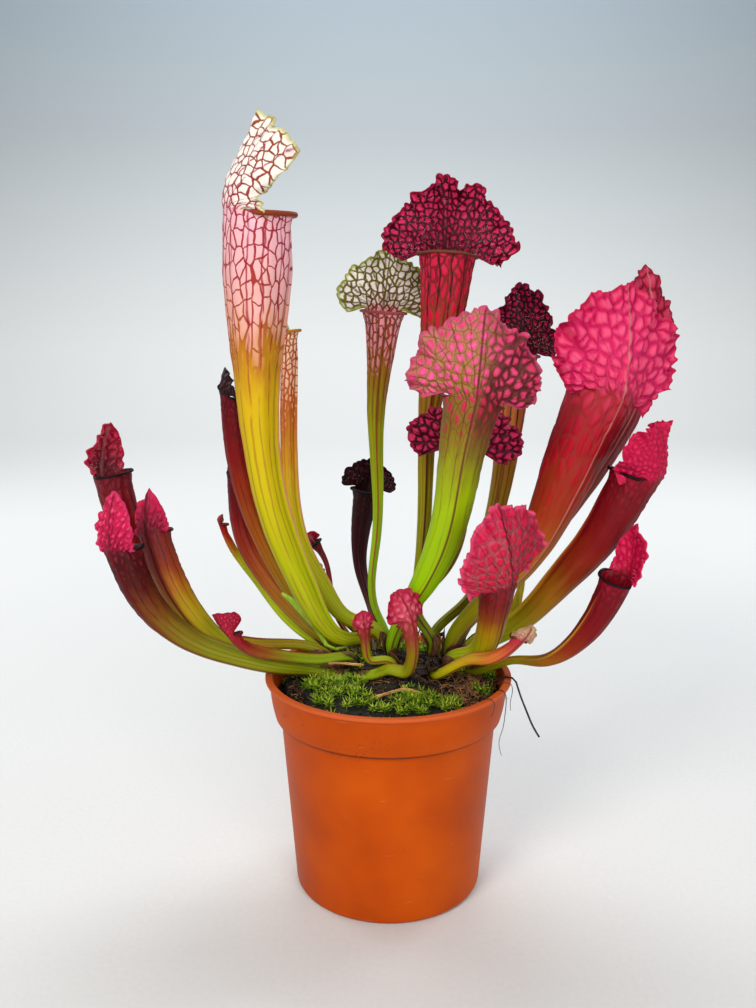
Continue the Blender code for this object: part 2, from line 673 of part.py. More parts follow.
def cut_away(item, cutter):
    """Takes the cutter out of an object. It stays as a hidden wire guide."""
    cutter.hide_render = True
    cutter.display_type = "WIRE"
    cut = item.modifiers.new(cutter.name, "BOOLEAN")
    cut.operation = "DIFFERENCE"
    cut.solver = "EXACT"
    cut.object = cutter


def rods(name, ends, radii, sides, material):
    """One object of straight tapered rods with flat ends, from pairs of end points."""
    points = []
    faces = []
    for start, end in ends:
        start = np.array(start, float)
        along = np.array(end, float) - start
        helper = unit(np.cross(along, [0.3, 1.0, 0.2]))
        other = unit(np.cross(along, helper))
        first = len(points)
        for place, radius in zip((start, start + along), radii):
            for k in range(sides):
                angle = 2 * math.pi * k / sides
                points.append(place + radius * (math.cos(angle) * helper + math.sin(angle) * other))
        lower = ringed_rows(first, 1, sides)[0]
        upper = ringed_rows(first + sides, 1, sides)[0]
        faces += joined_rows(lower, upper)
        faces += [(lower[0], lower[k + 1], lower[k]) for k in range(1, sides - 1)]
        faces += [(upper[0], upper[k], upper[k + 1]) for k in range(1, sides - 1)]
    return solid(name, points, faces, material)


def build_pot():
    plastic = surface("orange_polypropylene", "#C8500F", 0.38)
    bead_bottom = POT_HEIGHT - POT_BEAD_HEIGHT
    profile = [
        (0.0, 0.0),
        (POT_BASE_RADIUS - POT_CORNER, 0.0),
        (POT_BASE_RADIUS - 0.25 * POT_CORNER, 0.35 * POT_CORNER),
        (POT_BASE_RADIUS, POT_CORNER),
        (POT_STEP_RADIUS, POT_BAND_BOTTOM),
        (POT_BAND_LOW_RADIUS, POT_BAND_BOTTOM + POT_EDGE),
        (POT_BAND_TOP_RADIUS, bead_bottom),
        (POT_BEAD_RADIUS, bead_bottom + 0.2 * POT_EDGE),
        (POT_BEAD_RADIUS, POT_HEIGHT - 0.5 * POT_EDGE),
        (POT_BEAD_RADIUS - POT_EDGE, POT_HEIGHT),
        (wall_radius(POT_HEIGHT), POT_HEIGHT),
        *reversed(inner_wall()),
        (0.0, POT_FLOOR),
    ]
    pot = turned("pot", profile, POT_SIDES, plastic)
    ends = []
    for k in range(DRAIN_HOLES):
        angle = 2 * math.pi * (k + 0.5) / DRAIN_HOLES
        x = DRAIN_HOLE_CIRCLE * math.cos(angle)
        y = DRAIN_HOLE_CIRCLE * math.sin(angle)
        ends.append(((x, y, -CUT_PAST), (x, y, POT_FLOOR + CUT_PAST)))
    radii = (DRAIN_HOLE_RADIUS, DRAIN_HOLE_RADIUS)
    cut_away(pot, rods("drain_holes", ends, radii, DRAIN_HOLE_SIDES, plastic))


def low_leaf_points():
    """Places near the ground that the moss has to stay under, as x, y, lowest z and radius."""
    places = []
    routes = [(leaf.slot, leaf.route) for leaf in LEAVES.values()]
    routes += [(blade["slot"], blade["route"]) for blade in BLADES.values()]
    for slot, route in routes:
        line = drawn_through(leaf_knots(slot, route)[0], 160)
        for x, y, z, radius in line[line[:, 2] < PEAT_TOP + 25]:
            places.append((x, y, z - radius * (1 + RIB_DEPTH) - LEAF_WALL, radius))
    bits = (
        (STALK_ROUTE, STALK_RADIUS),
        (SCRAP_ROUTE, SCRAP_WIDTH / 2),
        (STRAY_ROOT_ROUTE, STRAY_ROOT_RADIUS),
    )
    for route, radius in bits:
        for x, y, z in drawn_through(route, 30):
            places.append((x, y, z - radius, radius))
    return np.array(places)


def ground_grid(inner_margin, outer_radius):
    """Places of a grid from the crown's hole out to a circle, ring by ring, in the XY plane."""
    rows = []
    for r in range(GROUND_RINGS + 1):
        share = r / GROUND_RINGS
        for k in range(GROUND_SPOKES):
            angle = 2 * math.pi * k / GROUND_SPOKES
            way = np.array([math.cos(angle), math.sin(angle)])
            inner = CROWN_CENTRE[:2] + (CROWN_HALF[:2] + inner_margin) * way
            rows.append(inner * (1 - share) + outer_radius * way * share)
    return np.array(rows).reshape(GROUND_RINGS + 1, GROUND_SPOKES, 2)


def peat_height(x, y):
    ripple = np.sin(0.21 * x + 1.0) * np.cos(0.17 * y) + np.sin(0.33 * y + 0.12 * x)
    return PEAT_TOP + PEAT_RIPPLE * ripple


def moss_height(x, y, places):
    """The moss's top at a place: a tufted mound, hollow on the right, kept under the leaves."""
    mound = MOSS_MOUND * np.clip(1 - (x * x + y * y) / MOSS_REACH**2, 0, 1) ** 0.7
    waves = np.sin(0.62 * x + 0.4) * np.sin(0.55 * y + 0.9) + 0.5 * np.sin(0.9 * x - 0.7 * y)
    from_hollow = np.hypot(x - HOLLOW_PLACE[0], y - HOLLOW_PLACE[1]) / HOLLOW_RADIUS
    rise = mound + MOSS_TUFT * waves - HOLLOW_DEPTH * np.exp(-from_hollow**2)
    top = peat_height(x, y) + MOSS_LEAST + np.maximum(rise, SEAT_GAP)
    away = np.hypot(places[:, 0] - x, places[:, 1] - y)
    beside = np.clip(away - places[:, 3] - MOSS_SPACING, 0, None)
    return min(top, (places[:, 2] - MOSS_CLEARANCE + beside * MOSS_RISE_BESIDE_LEAF).min())


def ringed_rows(first, rings, spokes):
    return [[first + r * spokes + k for k in range(spokes)] + [first + r * spokes] for r in range(rings)]


def build_peat():
    """The peat fills the pot. Its top takes the crown's hole and its roots' holes."""
    peat = surface("black_peat", "#1B1410", 0.95)
    top_radius = wall_radius(PEAT_TOP) - SEAT_GAP
    grid = ground_grid(CROWN_HOLE_MARGIN, top_radius)
    points = []
    for row in grid:
        for x, y in row:
            points.append((x, y, peat_height(x, y)))
    top_rows = ringed_rows(0, GROUND_RINGS + 1, GROUND_SPOKES)
    faces = []
    for inner, outer in zip(top_rows, top_rows[1:]):
        faces += joined_rows(inner, outer)
    hole_first = len(points)
    points += [(x, y, CROWN_HOLE_FLOOR) for x, y in grid[0]]
    hole = ringed_rows(hole_first, 1, GROUND_SPOKES)[0]
    faces += joined_rows(hole, top_rows[0])
    points.append((CROWN_CENTRE[0], CROWN_CENTRE[1], CROWN_HOLE_FLOOR))
    faces += [(len(points) - 1, hole[k + 1], hole[k]) for k in range(GROUND_SPOKES)]
    above = top_rows[-1]
    for radius, height in reversed(inner_wall()):
        first = len(points)
        for k in range(GROUND_SPOKES):
            angle = 2 * math.pi * k / GROUND_SPOKES
            reach = radius - 1.3 * SEAT_GAP
            points.append((reach * math.cos(angle), reach * math.sin(angle), height + SEAT_GAP))
        below = ringed_rows(first, 1, GROUND_SPOKES)[0]
        faces += joined_rows(above, below)
        above = below
    points.append((0.0, 0.0, POT_FLOOR + SEAT_GAP))
    faces += [(len(points) - 1, above[k], above[k + 1]) for k in range(GROUND_SPOKES)]
    medium = solid("growing_medium", points, faces, peat, math.radians(35))
    ends = []
    for top, tip in ROOTS:
        start = np.array([*top, ROOT_TOP_HEIGHT])
        ends.append((start, np.array(tip) + unit(np.array(tip) - start) * 2 * SEAT_GAP))
    radii = (ROOT_TOP_RADIUS + 2 * SEAT_GAP, ROOT_TIP_RADIUS + 2 * SEAT_GAP)
    cut_away(medium, rods("root_holes", ends, radii, ROOT_SIDES, peat))


def build_moss():
    """A mat over the peat, with the same grid above and below so that it never crosses itself."""
    moss = surface("cushion_moss", "#4C7A1C", 0.9)
    places = low_leaf_points()
    grid = ground_grid(CROWN_HOLE_MARGIN + 0.6, wall_radius(PEAT_TOP) - SEAT_GAP)[:GROUND_RINGS]
    points = []
    for row in grid:
        points += [(x, y, peat_height(x, y) + 2 * SEAT_GAP) for x, y in row]
    for row in grid:
        points += [(x, y, moss_height(x, y, places)) for x, y in row]
    rings = len(grid)
    lower = ringed_rows(0, rings, GROUND_SPOKES)
    upper = ringed_rows(rings * GROUND_SPOKES, rings, GROUND_SPOKES)
    faces = []
    for r in range(rings - 1):
        faces += joined_rows(upper[r], upper[r + 1])
        faces += joined_rows(lower[r], lower[r + 1], outward=False)
    faces += joined_rows(lower[0], upper[0])
    faces += joined_rows(lower[-1], upper[-1], outward=False)
    return solid("moss_mat", points, faces, moss, math.radians(80))


def build_rhizome():
    """The knobbly crown with its roots joined on below."""
    bark = surface("rhizome_bark", "#4A2B1A", 0.7)
    points = [CROWN_CENTRE - [0, 0, CROWN_HALF[2]]]
    rows = []
    for level in range(1, CROWN_LEVELS):
        rise = -math.pi / 2 + math.pi * level / CROWN_LEVELS
        first = len(points)
        for k in range(CROWN_AROUND):
            angle = 2 * math.pi * k / CROWN_AROUND
            knob = 1 - CROWN_KNOBS * ((k + level) % 2)
            level_out = math.cos(rise)
            way = np.array([level_out * math.cos(angle), level_out * math.sin(angle), math.sin(rise)])
            points.append(CROWN_CENTRE + CROWN_HALF * way * knob)
        rows.append(list(range(first, first + CROWN_AROUND)) + [first])
    points.append(CROWN_CENTRE + [0, 0, CROWN_HALF[2]])
    faces = [(0, rows[0][k + 1], rows[0][k]) for k in range(CROWN_AROUND)]
    for lower, upper in zip(rows, rows[1:]):
        faces += joined_rows(lower, upper)
    faces += [(len(points) - 1, rows[-1][k], rows[-1][k + 1]) for k in range(CROWN_AROUND)]
    crown = solid("rhizome", points, faces, bark)
    ends = [((*top, ROOT_TOP_HEIGHT), tip) for top, tip in ROOTS]
    roots = rods("roots", ends, (ROOT_TOP_RADIUS, ROOT_TIP_RADIUS), ROOT_SIDES, bark)
    join = crown.modifiers.new("roots", "BOOLEAN")
    join.operation = "UNION"
    join.solver = "EXACT"
    join.object = roots
    bpy.context.view_layer.objects.active = crown
    bpy.ops.object.modifier_apply(modifier=join.name)
    bpy.data.objects.remove(roots, do_unlink=True)


def build_strand(name, route, radius, sides, count, material, flat=None):
    """A thin stalk, root or strip along a route, with flat ends."""
    line = drawn_through(route, count)
    along = unit(np.gradient(line, axis=0))
    points = []
    for place, way in zip(line, along):
        level = unit(np.cross([0.0, 0.0, 1.0], way))
        rise = np.cross(way, level)
        for k in range(sides):
            angle = 2 * math.pi * (k + 0.5) / sides
            height = radius if flat is None else flat
            points.append(place + level * radius * math.cos(angle) + rise * height * math.sin(angle))
    rows = ringed_rows(0, count, sides)
    faces = []
    for lower, upper in zip(rows, rows[1:]):
        faces += joined_rows(lower, upper)
    faces += [(rows[0][0], rows[0][k + 1], rows[0][k]) for k in range(1, sides - 1)]
    faces += [(rows[-1][0], rows[-1][k], rows[-1][k + 1]) for k in range(1, sides - 1)]
    return solid(name, points, faces, material)


clear_scene()
build_pot()
build_peat()
build_rhizome()
build_moss()
build_strand("dead_stalk", STALK_ROUTE, STALK_RADIUS, 6, 10, surface("dead_stalk_tan", "#A8743A", 0.7))
build_strand("dry_scrap", SCRAP_ROUTE, SCRAP_WIDTH / 2, 4, 7, surface("dry_leaf_straw", "#D8B98A", 0.7),
             SCRAP_THICKNESS / 2)
build_strand("stray_root", STRAY_ROOT_ROUTE, STRAY_ROOT_RADIUS, 6, 18, surface("wiry_root", "#1C120E", 0.6))
for leaf_name, leaf_facts in LEAVES.items():
    leaf_solid(leaf_name, leaf_facts)
for blade_name, blade_facts in BLADES.items():
    blade_solid(blade_name, **blade_facts)
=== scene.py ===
"""Looks of the potted trumpet pitcher plant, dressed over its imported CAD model.

Shapes are worked out in millimetres and turned to metres as each mesh is made. The origin is the
centre of the pot's underside, +Z is up and the camera looks along +Y.
"""

import math
from dataclasses import dataclass

import bmesh
import bpy
import numpy as np
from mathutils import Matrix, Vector
from mathutils.bvhtree import BVHTree


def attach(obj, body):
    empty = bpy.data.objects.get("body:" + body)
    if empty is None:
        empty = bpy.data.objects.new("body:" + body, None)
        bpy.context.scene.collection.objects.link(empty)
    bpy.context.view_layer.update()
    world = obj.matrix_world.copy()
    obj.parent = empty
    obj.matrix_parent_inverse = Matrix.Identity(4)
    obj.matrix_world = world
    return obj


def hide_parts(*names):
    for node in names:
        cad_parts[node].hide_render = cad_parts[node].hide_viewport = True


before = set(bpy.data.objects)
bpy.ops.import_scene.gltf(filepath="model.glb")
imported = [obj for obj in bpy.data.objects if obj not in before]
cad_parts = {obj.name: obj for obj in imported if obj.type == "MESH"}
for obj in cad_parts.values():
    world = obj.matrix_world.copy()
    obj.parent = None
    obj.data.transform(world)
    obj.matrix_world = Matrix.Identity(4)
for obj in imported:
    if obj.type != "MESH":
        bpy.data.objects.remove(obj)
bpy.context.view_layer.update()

# Camera, lamps and floor. The camera stands in front, level with the taller hoods, and looks a bit
# down. A pale floor curves up into a wall far behind that has a lamp of its own, and the card's
# colour turns cooler and darker higher up, which is painted shade. Soft lamps light the plant from
# the front left and right, and two behind it shine through the hoods.

METRES = 0.001
CAMERA_PLACE = (-5.0, -450.0, 274.7)
CAMERA_PITCH = math.radians(10.55)
CAMERA_LENS = 34.4
CAMERA_SENSOR = 36.0
FLOOR_HALF_SIDE = 4000.0
SWEEP_START = 1900.0
SWEEP_RADIUS = 900.0
WALL_HEIGHT = 3000.0
FLOOR_PAPER = "#D2D0CD"
WALL_PAINTED_SHADE = "#949EA5"
PAINTED_SHADE_FROM = 0.2
PAINTED_SHADE_TO = 1.25
FLOOR_GRAIN = 2.5
LAMPS = (
    ("key_lamp", (-650, -1050, 1000), 500, 13.0, "#FFFAF2", (0, 0, 200)),
    ("left_back_lamp", (-1000, 700, 800), 600, 5.0, "#F4F8FF", (0, 0, 200)),
    ("right_back_lamp", (1000, 800, 900), 600, 6.0, "#F4F8FF", (0, 0, 200)),
    ("fill_lamp", (420, -1150, 520), 700, 9.0, "#FFFFFF", (0, 0, 200)),
    ("wall_lamp", (0, 1500, 2600), 1600, 76.0, "#F4F8FB", (0, 2800, 300)),
)
SKY = "#DCE6EE"
SKY_STRENGTH = 0.35


def linear(code):
    """A #RRGGBB colour as linear red, green, blue and alpha."""
    channels = [int(code[i : i + 2], 16) / 255 for i in (1, 3, 5)]
    return [c / 12.92 if c <= 0.04045 else ((c + 0.055) / 1.055) ** 2.4 for c in channels] + [1.0]


def feed(node, inputs):
    """Gives a node's inputs, by name or in order, a value, a socket or another node's first output."""
    for key, source in inputs.items() if isinstance(inputs, dict) else enumerate(inputs):
        if isinstance(source, bpy.types.Node):
            source = source.outputs[0]
        if isinstance(source, bpy.types.NodeSocket):
            node.id_data.links.new(source, node.inputs[key])
        else:
            node.inputs[key].default_value = source


def add(tree, kind, inputs=(), stops=(), **settings):
    """Adds a node with its settings and links. A ramp takes stops of place and colour.

    In order, a map range takes its value, the two ends it comes from and the two it goes to, and a
    mix takes its share and two colours.
    """
    node = tree.nodes.new(kind if "Node" in kind else "ShaderNode" + kind)
    for name, value in settings.items():
        setattr(node, name, value)
    feed(node, inputs)
    for _ in stops[2:]:
        node.color_ramp.elements.new(1.0)
    for k, (place, code) in enumerate(stops):
        node.color_ramp.elements[k].position = place
        node.color_ramp.elements[k].color = linear(code)
    return node


def empty_material(name):
    """A new material with its tree and its shader."""
    material = bpy.data.materials.new(name)
    material.use_nodes = True
    return material, material.node_tree, material.node_tree.nodes["Principled BSDF"]


def aimed(item, target):
    """Turns a lamp so that it shines at a point."""
    way = np.array(target, float) - np.array(item.location) / METRES
    across = math.hypot(way[0], way[1])
    item.rotation_euler = (math.atan2(across, -way[2]), 0.0, math.atan2(-way[0], way[1]))


camera_facts = bpy.data.cameras.new("camera")
camera_facts.sensor_width = CAMERA_SENSOR
camera_facts.lens = CAMERA_LENS
camera_facts.clip_start = 0.01
camera = bpy.data.objects.new("camera", camera_facts)
camera.location = [value * METRES for value in CAMERA_PLACE]
camera.rotation_euler = (math.pi / 2 - CAMERA_PITCH, 0.0, 0.0)
bpy.context.collection.objects.link(camera)
bpy.context.scene.camera = camera
bpy.context.scene.view_settings.view_transform = "Standard"

for lamp_name, lamp_place, lamp_side, lamp_power, lamp_colour, lamp_aim in LAMPS:
    lamp_facts = bpy.data.lights.new(lamp_name, "AREA")
    lamp_facts.size = lamp_side * METRES
    lamp_facts.energy = lamp_power
    lamp_facts.color = linear(lamp_colour)[:3]
    lamp = bpy.data.objects.new(lamp_name, lamp_facts)
    lamp.location = [value * METRES for value in lamp_place]
    aimed(lamp, lamp_aim)
    bpy.context.collection.objects.link(lamp)

world = bpy.data.worlds.new("studio")
world.use_nodes = True
world.node_tree.nodes["Background"].inputs["Color"].default_value = linear(SKY)
world.node_tree.nodes["Background"].inputs["Strength"].default_value = SKY_STRENGTH
bpy.context.scene.world = world

# Matt card: no gloss, and a very faint mottle from its pulp. Higher up its colour turns to a
# cooler, darker grey: painted shade.
floor_card, tree, shader = empty_material("matt_paper_card")
place = add(tree, "TexCoord").outputs["Object"]
pulp = add(tree, "TexNoise", {"Vector": place, "Scale": 1 / (FLOOR_GRAIN * METRES)})
tone = add(tree, "ValToRGB", (pulp,), [(0.3, "#CECDCA"), (0.7, FLOOR_PAPER)])
height = add(tree, "SeparateXYZ", (place,)).outputs["Z"]
painted_shade_share = add(tree, "MapRange", (height, PAINTED_SHADE_FROM, PAINTED_SHADE_TO))
card_with_painted_shade = add(tree, "MixRGB", (painted_shade_share, tone, linear(WALL_PAINTED_SHADE)))
feed(shader, {"Base Color": card_with_painted_shade, "Roughness": 0.9})

floor_mesh = bpy.data.meshes.new("floor")
sweep = [(-FLOOR_HALF_SIDE, 0.0)]
for angle in np.linspace(0, math.pi / 2, 24):
    sweep.append((SWEEP_START + SWEEP_RADIUS * math.sin(angle), SWEEP_RADIUS * (1 - math.cos(angle))))
sweep.append((SWEEP_START + SWEEP_RADIUS, WALL_HEIGHT))
floor_mesh.from_pydata([(x * METRES, y * METRES, z * METRES) for y, z in sweep
                        for x in (-FLOOR_HALF_SIDE, FLOOR_HALF_SIDE)], [],
                       [(2 * k, 2 * k + 1, 2 * k + 3, 2 * k + 2) for k in range(len(sweep) - 1)])
floor_mesh.shade_smooth()
floor_mesh.materials.append(floor_card)
floor = bpy.data.objects.new("floor", floor_mesh)
bpy.context.collection.objects.link(floor)

# Pot: a thin-walled nursery pot, injection moulded in orange polypropylene, with a bead round its
# rim and a broad band below it. The mould leaves a satin skin that handling scuffs and peat marks.

POT_HEIGHT = 107.5
POT_BEAD_RADIUS = 60.0
POT_BEAD_BOTTOM = 105.7
POT_BAND_TOP_RADIUS = 58.0
POT_BAND_BULGE_RADIUS = 57.0
POT_BAND_BULGE_HEIGHT = 94.0
POT_BAND_LOW_RADIUS = 55.7
POT_BAND_BOTTOM = 87.0
POT_STEP_RADIUS = 52.6
POT_BASE_RADIUS = 46.0
POT_WALL = 1.5
POT_FLOOR = 1.8
POT_CORNER = 3.0
POT_SIDES = 180
DRAIN_HOLES = 8
DRAIN_HOLE_RADIUS = 4.0
DRAIN_HOLE_CIRCLE = 33.0
DRAIN_HOLE_SIDES = 24
DRILL_OVERSHOOT = 3.0
SHARP_FROM = math.radians(40)
POLYPROPYLENE_IOR = 1.49
POLYPROPYLENE_GLOSS = 0.1
PALER_RIM_HEIGHTS = (0.1035, 0.1068)


def unit(vectors):
    """The same directions at length one."""
    return vectors / np.linalg.norm(vectors, axis=-1, keepdims=True)


def grid_faces(index):
    """Quads between neighbouring rows and columns of a grid of point numbers."""
    corners = (index[:-1, :-1], index[:-1, 1:], index[1:, 1:], index[1:, :-1])
    return np.stack(corners, axis=-1).reshape(-1, 4).tolist()


def made(name, points, faces, material, finish, nodes=(), facts=None):
    """A piece of the plant from points in mm. It rides on the one body.

    finish: not used.
    """
    mesh = bpy.data.meshes.new(name)
    mesh.from_pydata((np.asarray(points, float) * METRES).tolist(), [], faces)
    for fact, values in (facts or {}).items():
        layer = mesh.attributes.new(fact, "FLOAT_VECTOR", "POINT")
        layer.data.foreach_set("vector", np.asarray(values, np.float32).ravel())
    mesh.materials.append(material)
    surface = bmesh.new()
    surface.from_mesh(mesh)
    bmesh.ops.recalc_face_normals(surface, faces=surface.faces)
    surface.to_mesh(mesh)
    surface.free()
    mesh.shade_smooth()
    item = bpy.data.objects.new(name, mesh)
    bpy.context.collection.objects.link(item)
    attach(item, "root")
    if nodes:
        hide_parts(*nodes)
    return item


def tube_faces(rings, sides):
    """Faces of a tube of point rings, with a flat end on each side."""
    index = np.arange(rings * sides).reshape(rings, sides)
    wall = grid_faces(np.column_stack([index, index[:, :1]]))
    return wall + [index[0][::-1].tolist(), index[-1].tolist()]


def turned(profile, sides):
    """Points and faces of a profile of radius and height turned round Z, from axis to axis."""
    angles = np.arange(sides) * 2 * math.pi / sides
    circle = np.stack([np.cos(angles), np.sin(angles)], axis=1)
    rows = [np.column_stack([circle * radius, np.full(sides, height)]) for radius, height in profile]
    return np.concatenate(rows), tube_faces(len(profile), sides)


def joined(shapes):
    """The points and faces of several shapes as one shape."""
    all_faces = []
    first = 0
    for points, faces in shapes:
        all_faces += [[first + corner for corner in face] for face in faces]
        first += len(points)
    return np.concatenate([points for points, faces in shapes]), all_faces


def rounded(*corners):
    """A profile with each (radius, height, rounding) corner cut to an arc of short steps."""
    path = []
    for k, (radius, height, rounding) in enumerate(corners):
        here = np.array([radius, height])
        if rounding == 0:
            path.append(here)
            continue
        before = np.array(corners[k - 1][:2]) - here
        after = np.array(corners[k + 1][:2]) - here
        start = here + unit(before) * rounding
        end = here + unit(after) * rounding
        for share in np.linspace(0, 1, 6):
            path.append((1 - share) ** 2 * start + 2 * share * (1 - share) * here + share**2 * end)
    return path


# Injection-moulded polypropylene: a satin skin with orange peel about 1 mm across, dull scuffs, and
# peat that is rubbed in as specks about 2 mm apart. Under the band a dark line is painted: shadow
# of its overhang, with a little peat dust.
pot_plastic, tree, shader = empty_material("orange_polypropylene")
place = add(tree, "TexCoord").outputs["Object"]
cloud = add(tree, "TexNoise", {"Vector": place, "Scale": 28.0, "Detail": 3.0})
tone = add(tree, "ValToRGB", (cloud,), [(0.3, "#A23C00"), (0.5, "#B24400"), (0.72, "#BE4E02")])
height = add(tree, "SeparateXYZ", (place,)).outputs["Z"]
# The top of the rim is a paler orange.
rim = add(tree, "MapRange", (height, *PALER_RIM_HEIGHTS))
stretched = add(tree, "Mapping", {"Vector": place, "Rotation": (0.5, 0.3, 0.2),
                                  "Scale": (60.0, 60.0, 900.0)})
scratch = add(tree, "TexNoise", {"Vector": stretched, "Scale": 1.0, "Detail": 2.0})
scratched = add(tree, "MapRange", (scratch, 0.71, 0.78, 0.0, 0.3))
speck = add(tree, "TexVoronoi", {"Vector": place, "Scale": 480.0})
patch = add(tree, "TexNoise", {"Vector": place, "Scale": 22.0, "Detail": 2.0})
patch_edge = add(tree, "MapRange", (patch, 0.55, 0.75, 0.03, 0.16))
dirty = add(tree, "Math", (speck.outputs["Distance"], patch_edge), operation="LESS_THAN")
# A dark line just above and below the band's lower edge is painted shadow of the band's overhang, with a
# little peat dust in the corner.
above_corner = add(tree, "Math", (height, POT_BAND_BOTTOM * METRES), operation="SUBTRACT")
from_corner = add(tree, "Math", (above_corner,), operation="ABSOLUTE")
corner_shadow_and_dust = add(tree, "MapRange", (from_corner, 0.4 * METRES, 1.3 * METRES, 0.85, 0.0))
specks_and_corner_shadow = add(tree, "Math", (dirty, 0.65, corner_shadow_and_dust), operation="MULTIPLY_ADD", use_clamp=True)
for share, colour in ((rim, "#C05424"), (scratched, "#E89A6E"), (specks_and_corner_shadow, "#3A1C10")):
    tone = add(tree, "MixRGB", (share, tone, linear(colour)))
satin = add(tree, "MapRange", (cloud, 0.3, 0.7, 0.44, 0.56))
peel = add(tree, "TexNoise", {"Vector": place, "Scale": 900.0, "Detail": 1.0})
bump = add(tree, "Bump", {"Height": peel, "Strength": 0.12, "Distance": 0.0004})
feed(shader, {"Base Color": tone, "Roughness": satin, "IOR": POLYPROPYLENE_IOR,
              "Specular IOR Level": POLYPROPYLENE_GLOSS, "Normal": bump})


def pot_profile():
    """The pot's outline: up its outside, over the rim and down its inside."""
    return rounded(
        (0.5, 0.0, 0),
        (POT_BASE_RADIUS - 0.2, 0.0, POT_CORNER),
        (POT_STEP_RADIUS, POT_BAND_BOTTOM - 0.2, 0.5),
        (POT_BAND_LOW_RADIUS - 0.6, POT_BAND_BOTTOM, 1.0),
        (POT_BAND_BULGE_RADIUS, POT_BAND_BULGE_HEIGHT, 5.0),
        (POT_BAND_TOP_RADIUS, POT_BEAD_BOTTOM, 0.5),
        (POT_BEAD_RADIUS, POT_BEAD_BOTTOM + 0.1, 0.5),
        (POT_BEAD_RADIUS, POT_HEIGHT, 0.7),
        (POT_BAND_TOP_RADIUS - POT_WALL, POT_HEIGHT, 0.7),
        (POT_BAND_LOW_RADIUS - POT_WALL, POT_BAND_BOTTOM + POT_WALL, 0.6),
        (POT_STEP_RADIUS - POT_WALL, POT_BAND_BOTTOM - 1, 0.5),
        (POT_BASE_RADIUS - POT_WALL, POT_FLOOR, POT_CORNER - POT_WALL),
        (0.5, POT_FLOOR, 0),
    )


pot_points, pot_faces = turned(pot_profile(), POT_SIDES)
pot = made("nursery_pot", pot_points, pot_faces, pot_plastic, "pot", ("pot",))
pot.data.set_sharp_from_angle(angle=SHARP_FROM)
hole_ends = [(DRAIN_HOLE_RADIUS, -DRILL_OVERSHOOT), (DRAIN_HOLE_RADIUS, POT_FLOOR + DRILL_OVERSHOOT)]
hole_points, hole_faces = turned(hole_ends, DRAIN_HOLE_SIDES)
holes = []
for angle in 2 * math.pi * (np.arange(DRAIN_HOLES) + 0.5) / DRAIN_HOLES:
    middle = [DRAIN_HOLE_CIRCLE * math.cos(angle), DRAIN_HOLE_CIRCLE * math.sin(angle), 0.0]
    holes.append((hole_points + middle, hole_faces))
drill_points, drill_faces = joined(holes)
drill_mesh = bpy.data.meshes.new("drill")
drill_mesh.from_pydata((drill_points * METRES).tolist(), [], drill_faces)
drill = bpy.data.objects.new("drill", drill_mesh)
bpy.context.collection.objects.link(drill)
cut = pot.modifiers.new("drain_holes", "BOOLEAN")
cut.operation = "DIFFERENCE"
cut.object = drill
bpy.context.view_layer.objects.active = pot
bpy.ops.object.modifier_apply(modifier=cut.name)
bpy.data.objects.remove(drill, do_unlink=True)

# Pitcher leaves: each grows as one hollow tube of thin leaf tissue with a wing up its front, a
# rolled nectar lip and a ruffled hood. Veins net the tissue, and it bulges between them.

CROWN_CENTRE = np.array([6.0, 17.0, 103.0])
CROWN_HALF = np.array([34.0, 11.0, 9.0])
SEAT_GAP = 0.3
LEAF_STALK = 6.0
FOOT_RADIUS = 2.0
NECK_HALF_ANGLE = math.radians(62)
LIP_SPREAD = math.radians(25)
LIP_RUN = 8.0
LIP_ROLL = 0.4
LIP_REACH = 0.45
LIP_FLARE = 0.3
LIP_DROP = 0.8
LIP_INNER_DROP = 0.35
TUBE_WAVER = 0.018
FLUTES = 7
FLUTE_DEPTH = 0.02
TUBE_RELIEF = 0.35
CELL_LENGTH = 1.75
CELL_STRETCH = 2.2
HOOD_OPEN_BY = 0.45
HOOD_CELLS_FULL_BY = 0.3
MIDRIB_RISE = 0.7
LOBE_DEPTH = 0.05
LOBE_LENGTHS = (12.0, 19.0, 29.0)
LEAF_WALL = 0.9
HOOD_THICKNESS = 0.85
HOLLOW_SHARE = 0.5
LINE_STEPS = 240
HOOD_STEPS = 60
RIM_STEPS = 7
LENGTHWISE_VEINS = 12
HOOD_HALF_VEINS = 8
FIN_SIDE = np.array([0.0, 0.28, 0.38, 0.9, 1.7])
FIN_RISE = np.array([1.0, 0.95, 0.4, 0.1, 0.0])
FAR_FROM_MARGIN = 50.0
CELL_ROUND = 0.8
HEM_HALF = 0.5
RUFFLE_LENGTH = 16.0
CRINKLE_LENGTH = 4.0
CRINKLE_DEPTH = 1.5
PITCH = {"large": 1.15, "middle": 0.95, "small": 0.7}
LEAF_IOR = 1.42
LEAF_GLOSS = 0.28
TISSUE_DEPTH = 1.2
TISSUE_GLOW = 0.3
MOTTLE_SWAY = 0.09
PANE_SHUT = 1.7
BULGE_RISES = (0.25, 1.7)
PALE_FROM_VEIN = 2.2


@dataclass
class Leaf:
    """One pitcher leaf, with the CAD's values. Lengths in mm, angles in degrees.

    slot: place on the crown, round and up. route: x, y, z of the tube's middle and its radius.
    faces: direction of the mouth. hood: its height and half-width. look: its material. columns: net
    cells round the tube. finish: a name for its finish. cells: how many times as large they are on
    the hood. The rest shapes the hood, lip and wing as the CAD does.
    """

    slot: tuple
    route: tuple
    faces: float
    hood: tuple
    look: str
    columns: int
    finish: str = "pitcher_red"
    cells: float = 1.2
    size: str = "large"
    ears: float = 116.0
    ear_length: float = 0.62
    tilt: float = 0.0
    arch: float = 32.0
    cup: tuple = (12.0, 12.0)
    lean: float = 0.0
    wing: float = 2.2
    lip: float = 2.0
    slant: float = 2.0
    ruffle: float = 1.6
    shares: tuple = (1.0, 1.0)
    fullness: float = 0.5
    waist: float = 1.0
    relief: float = 0.6


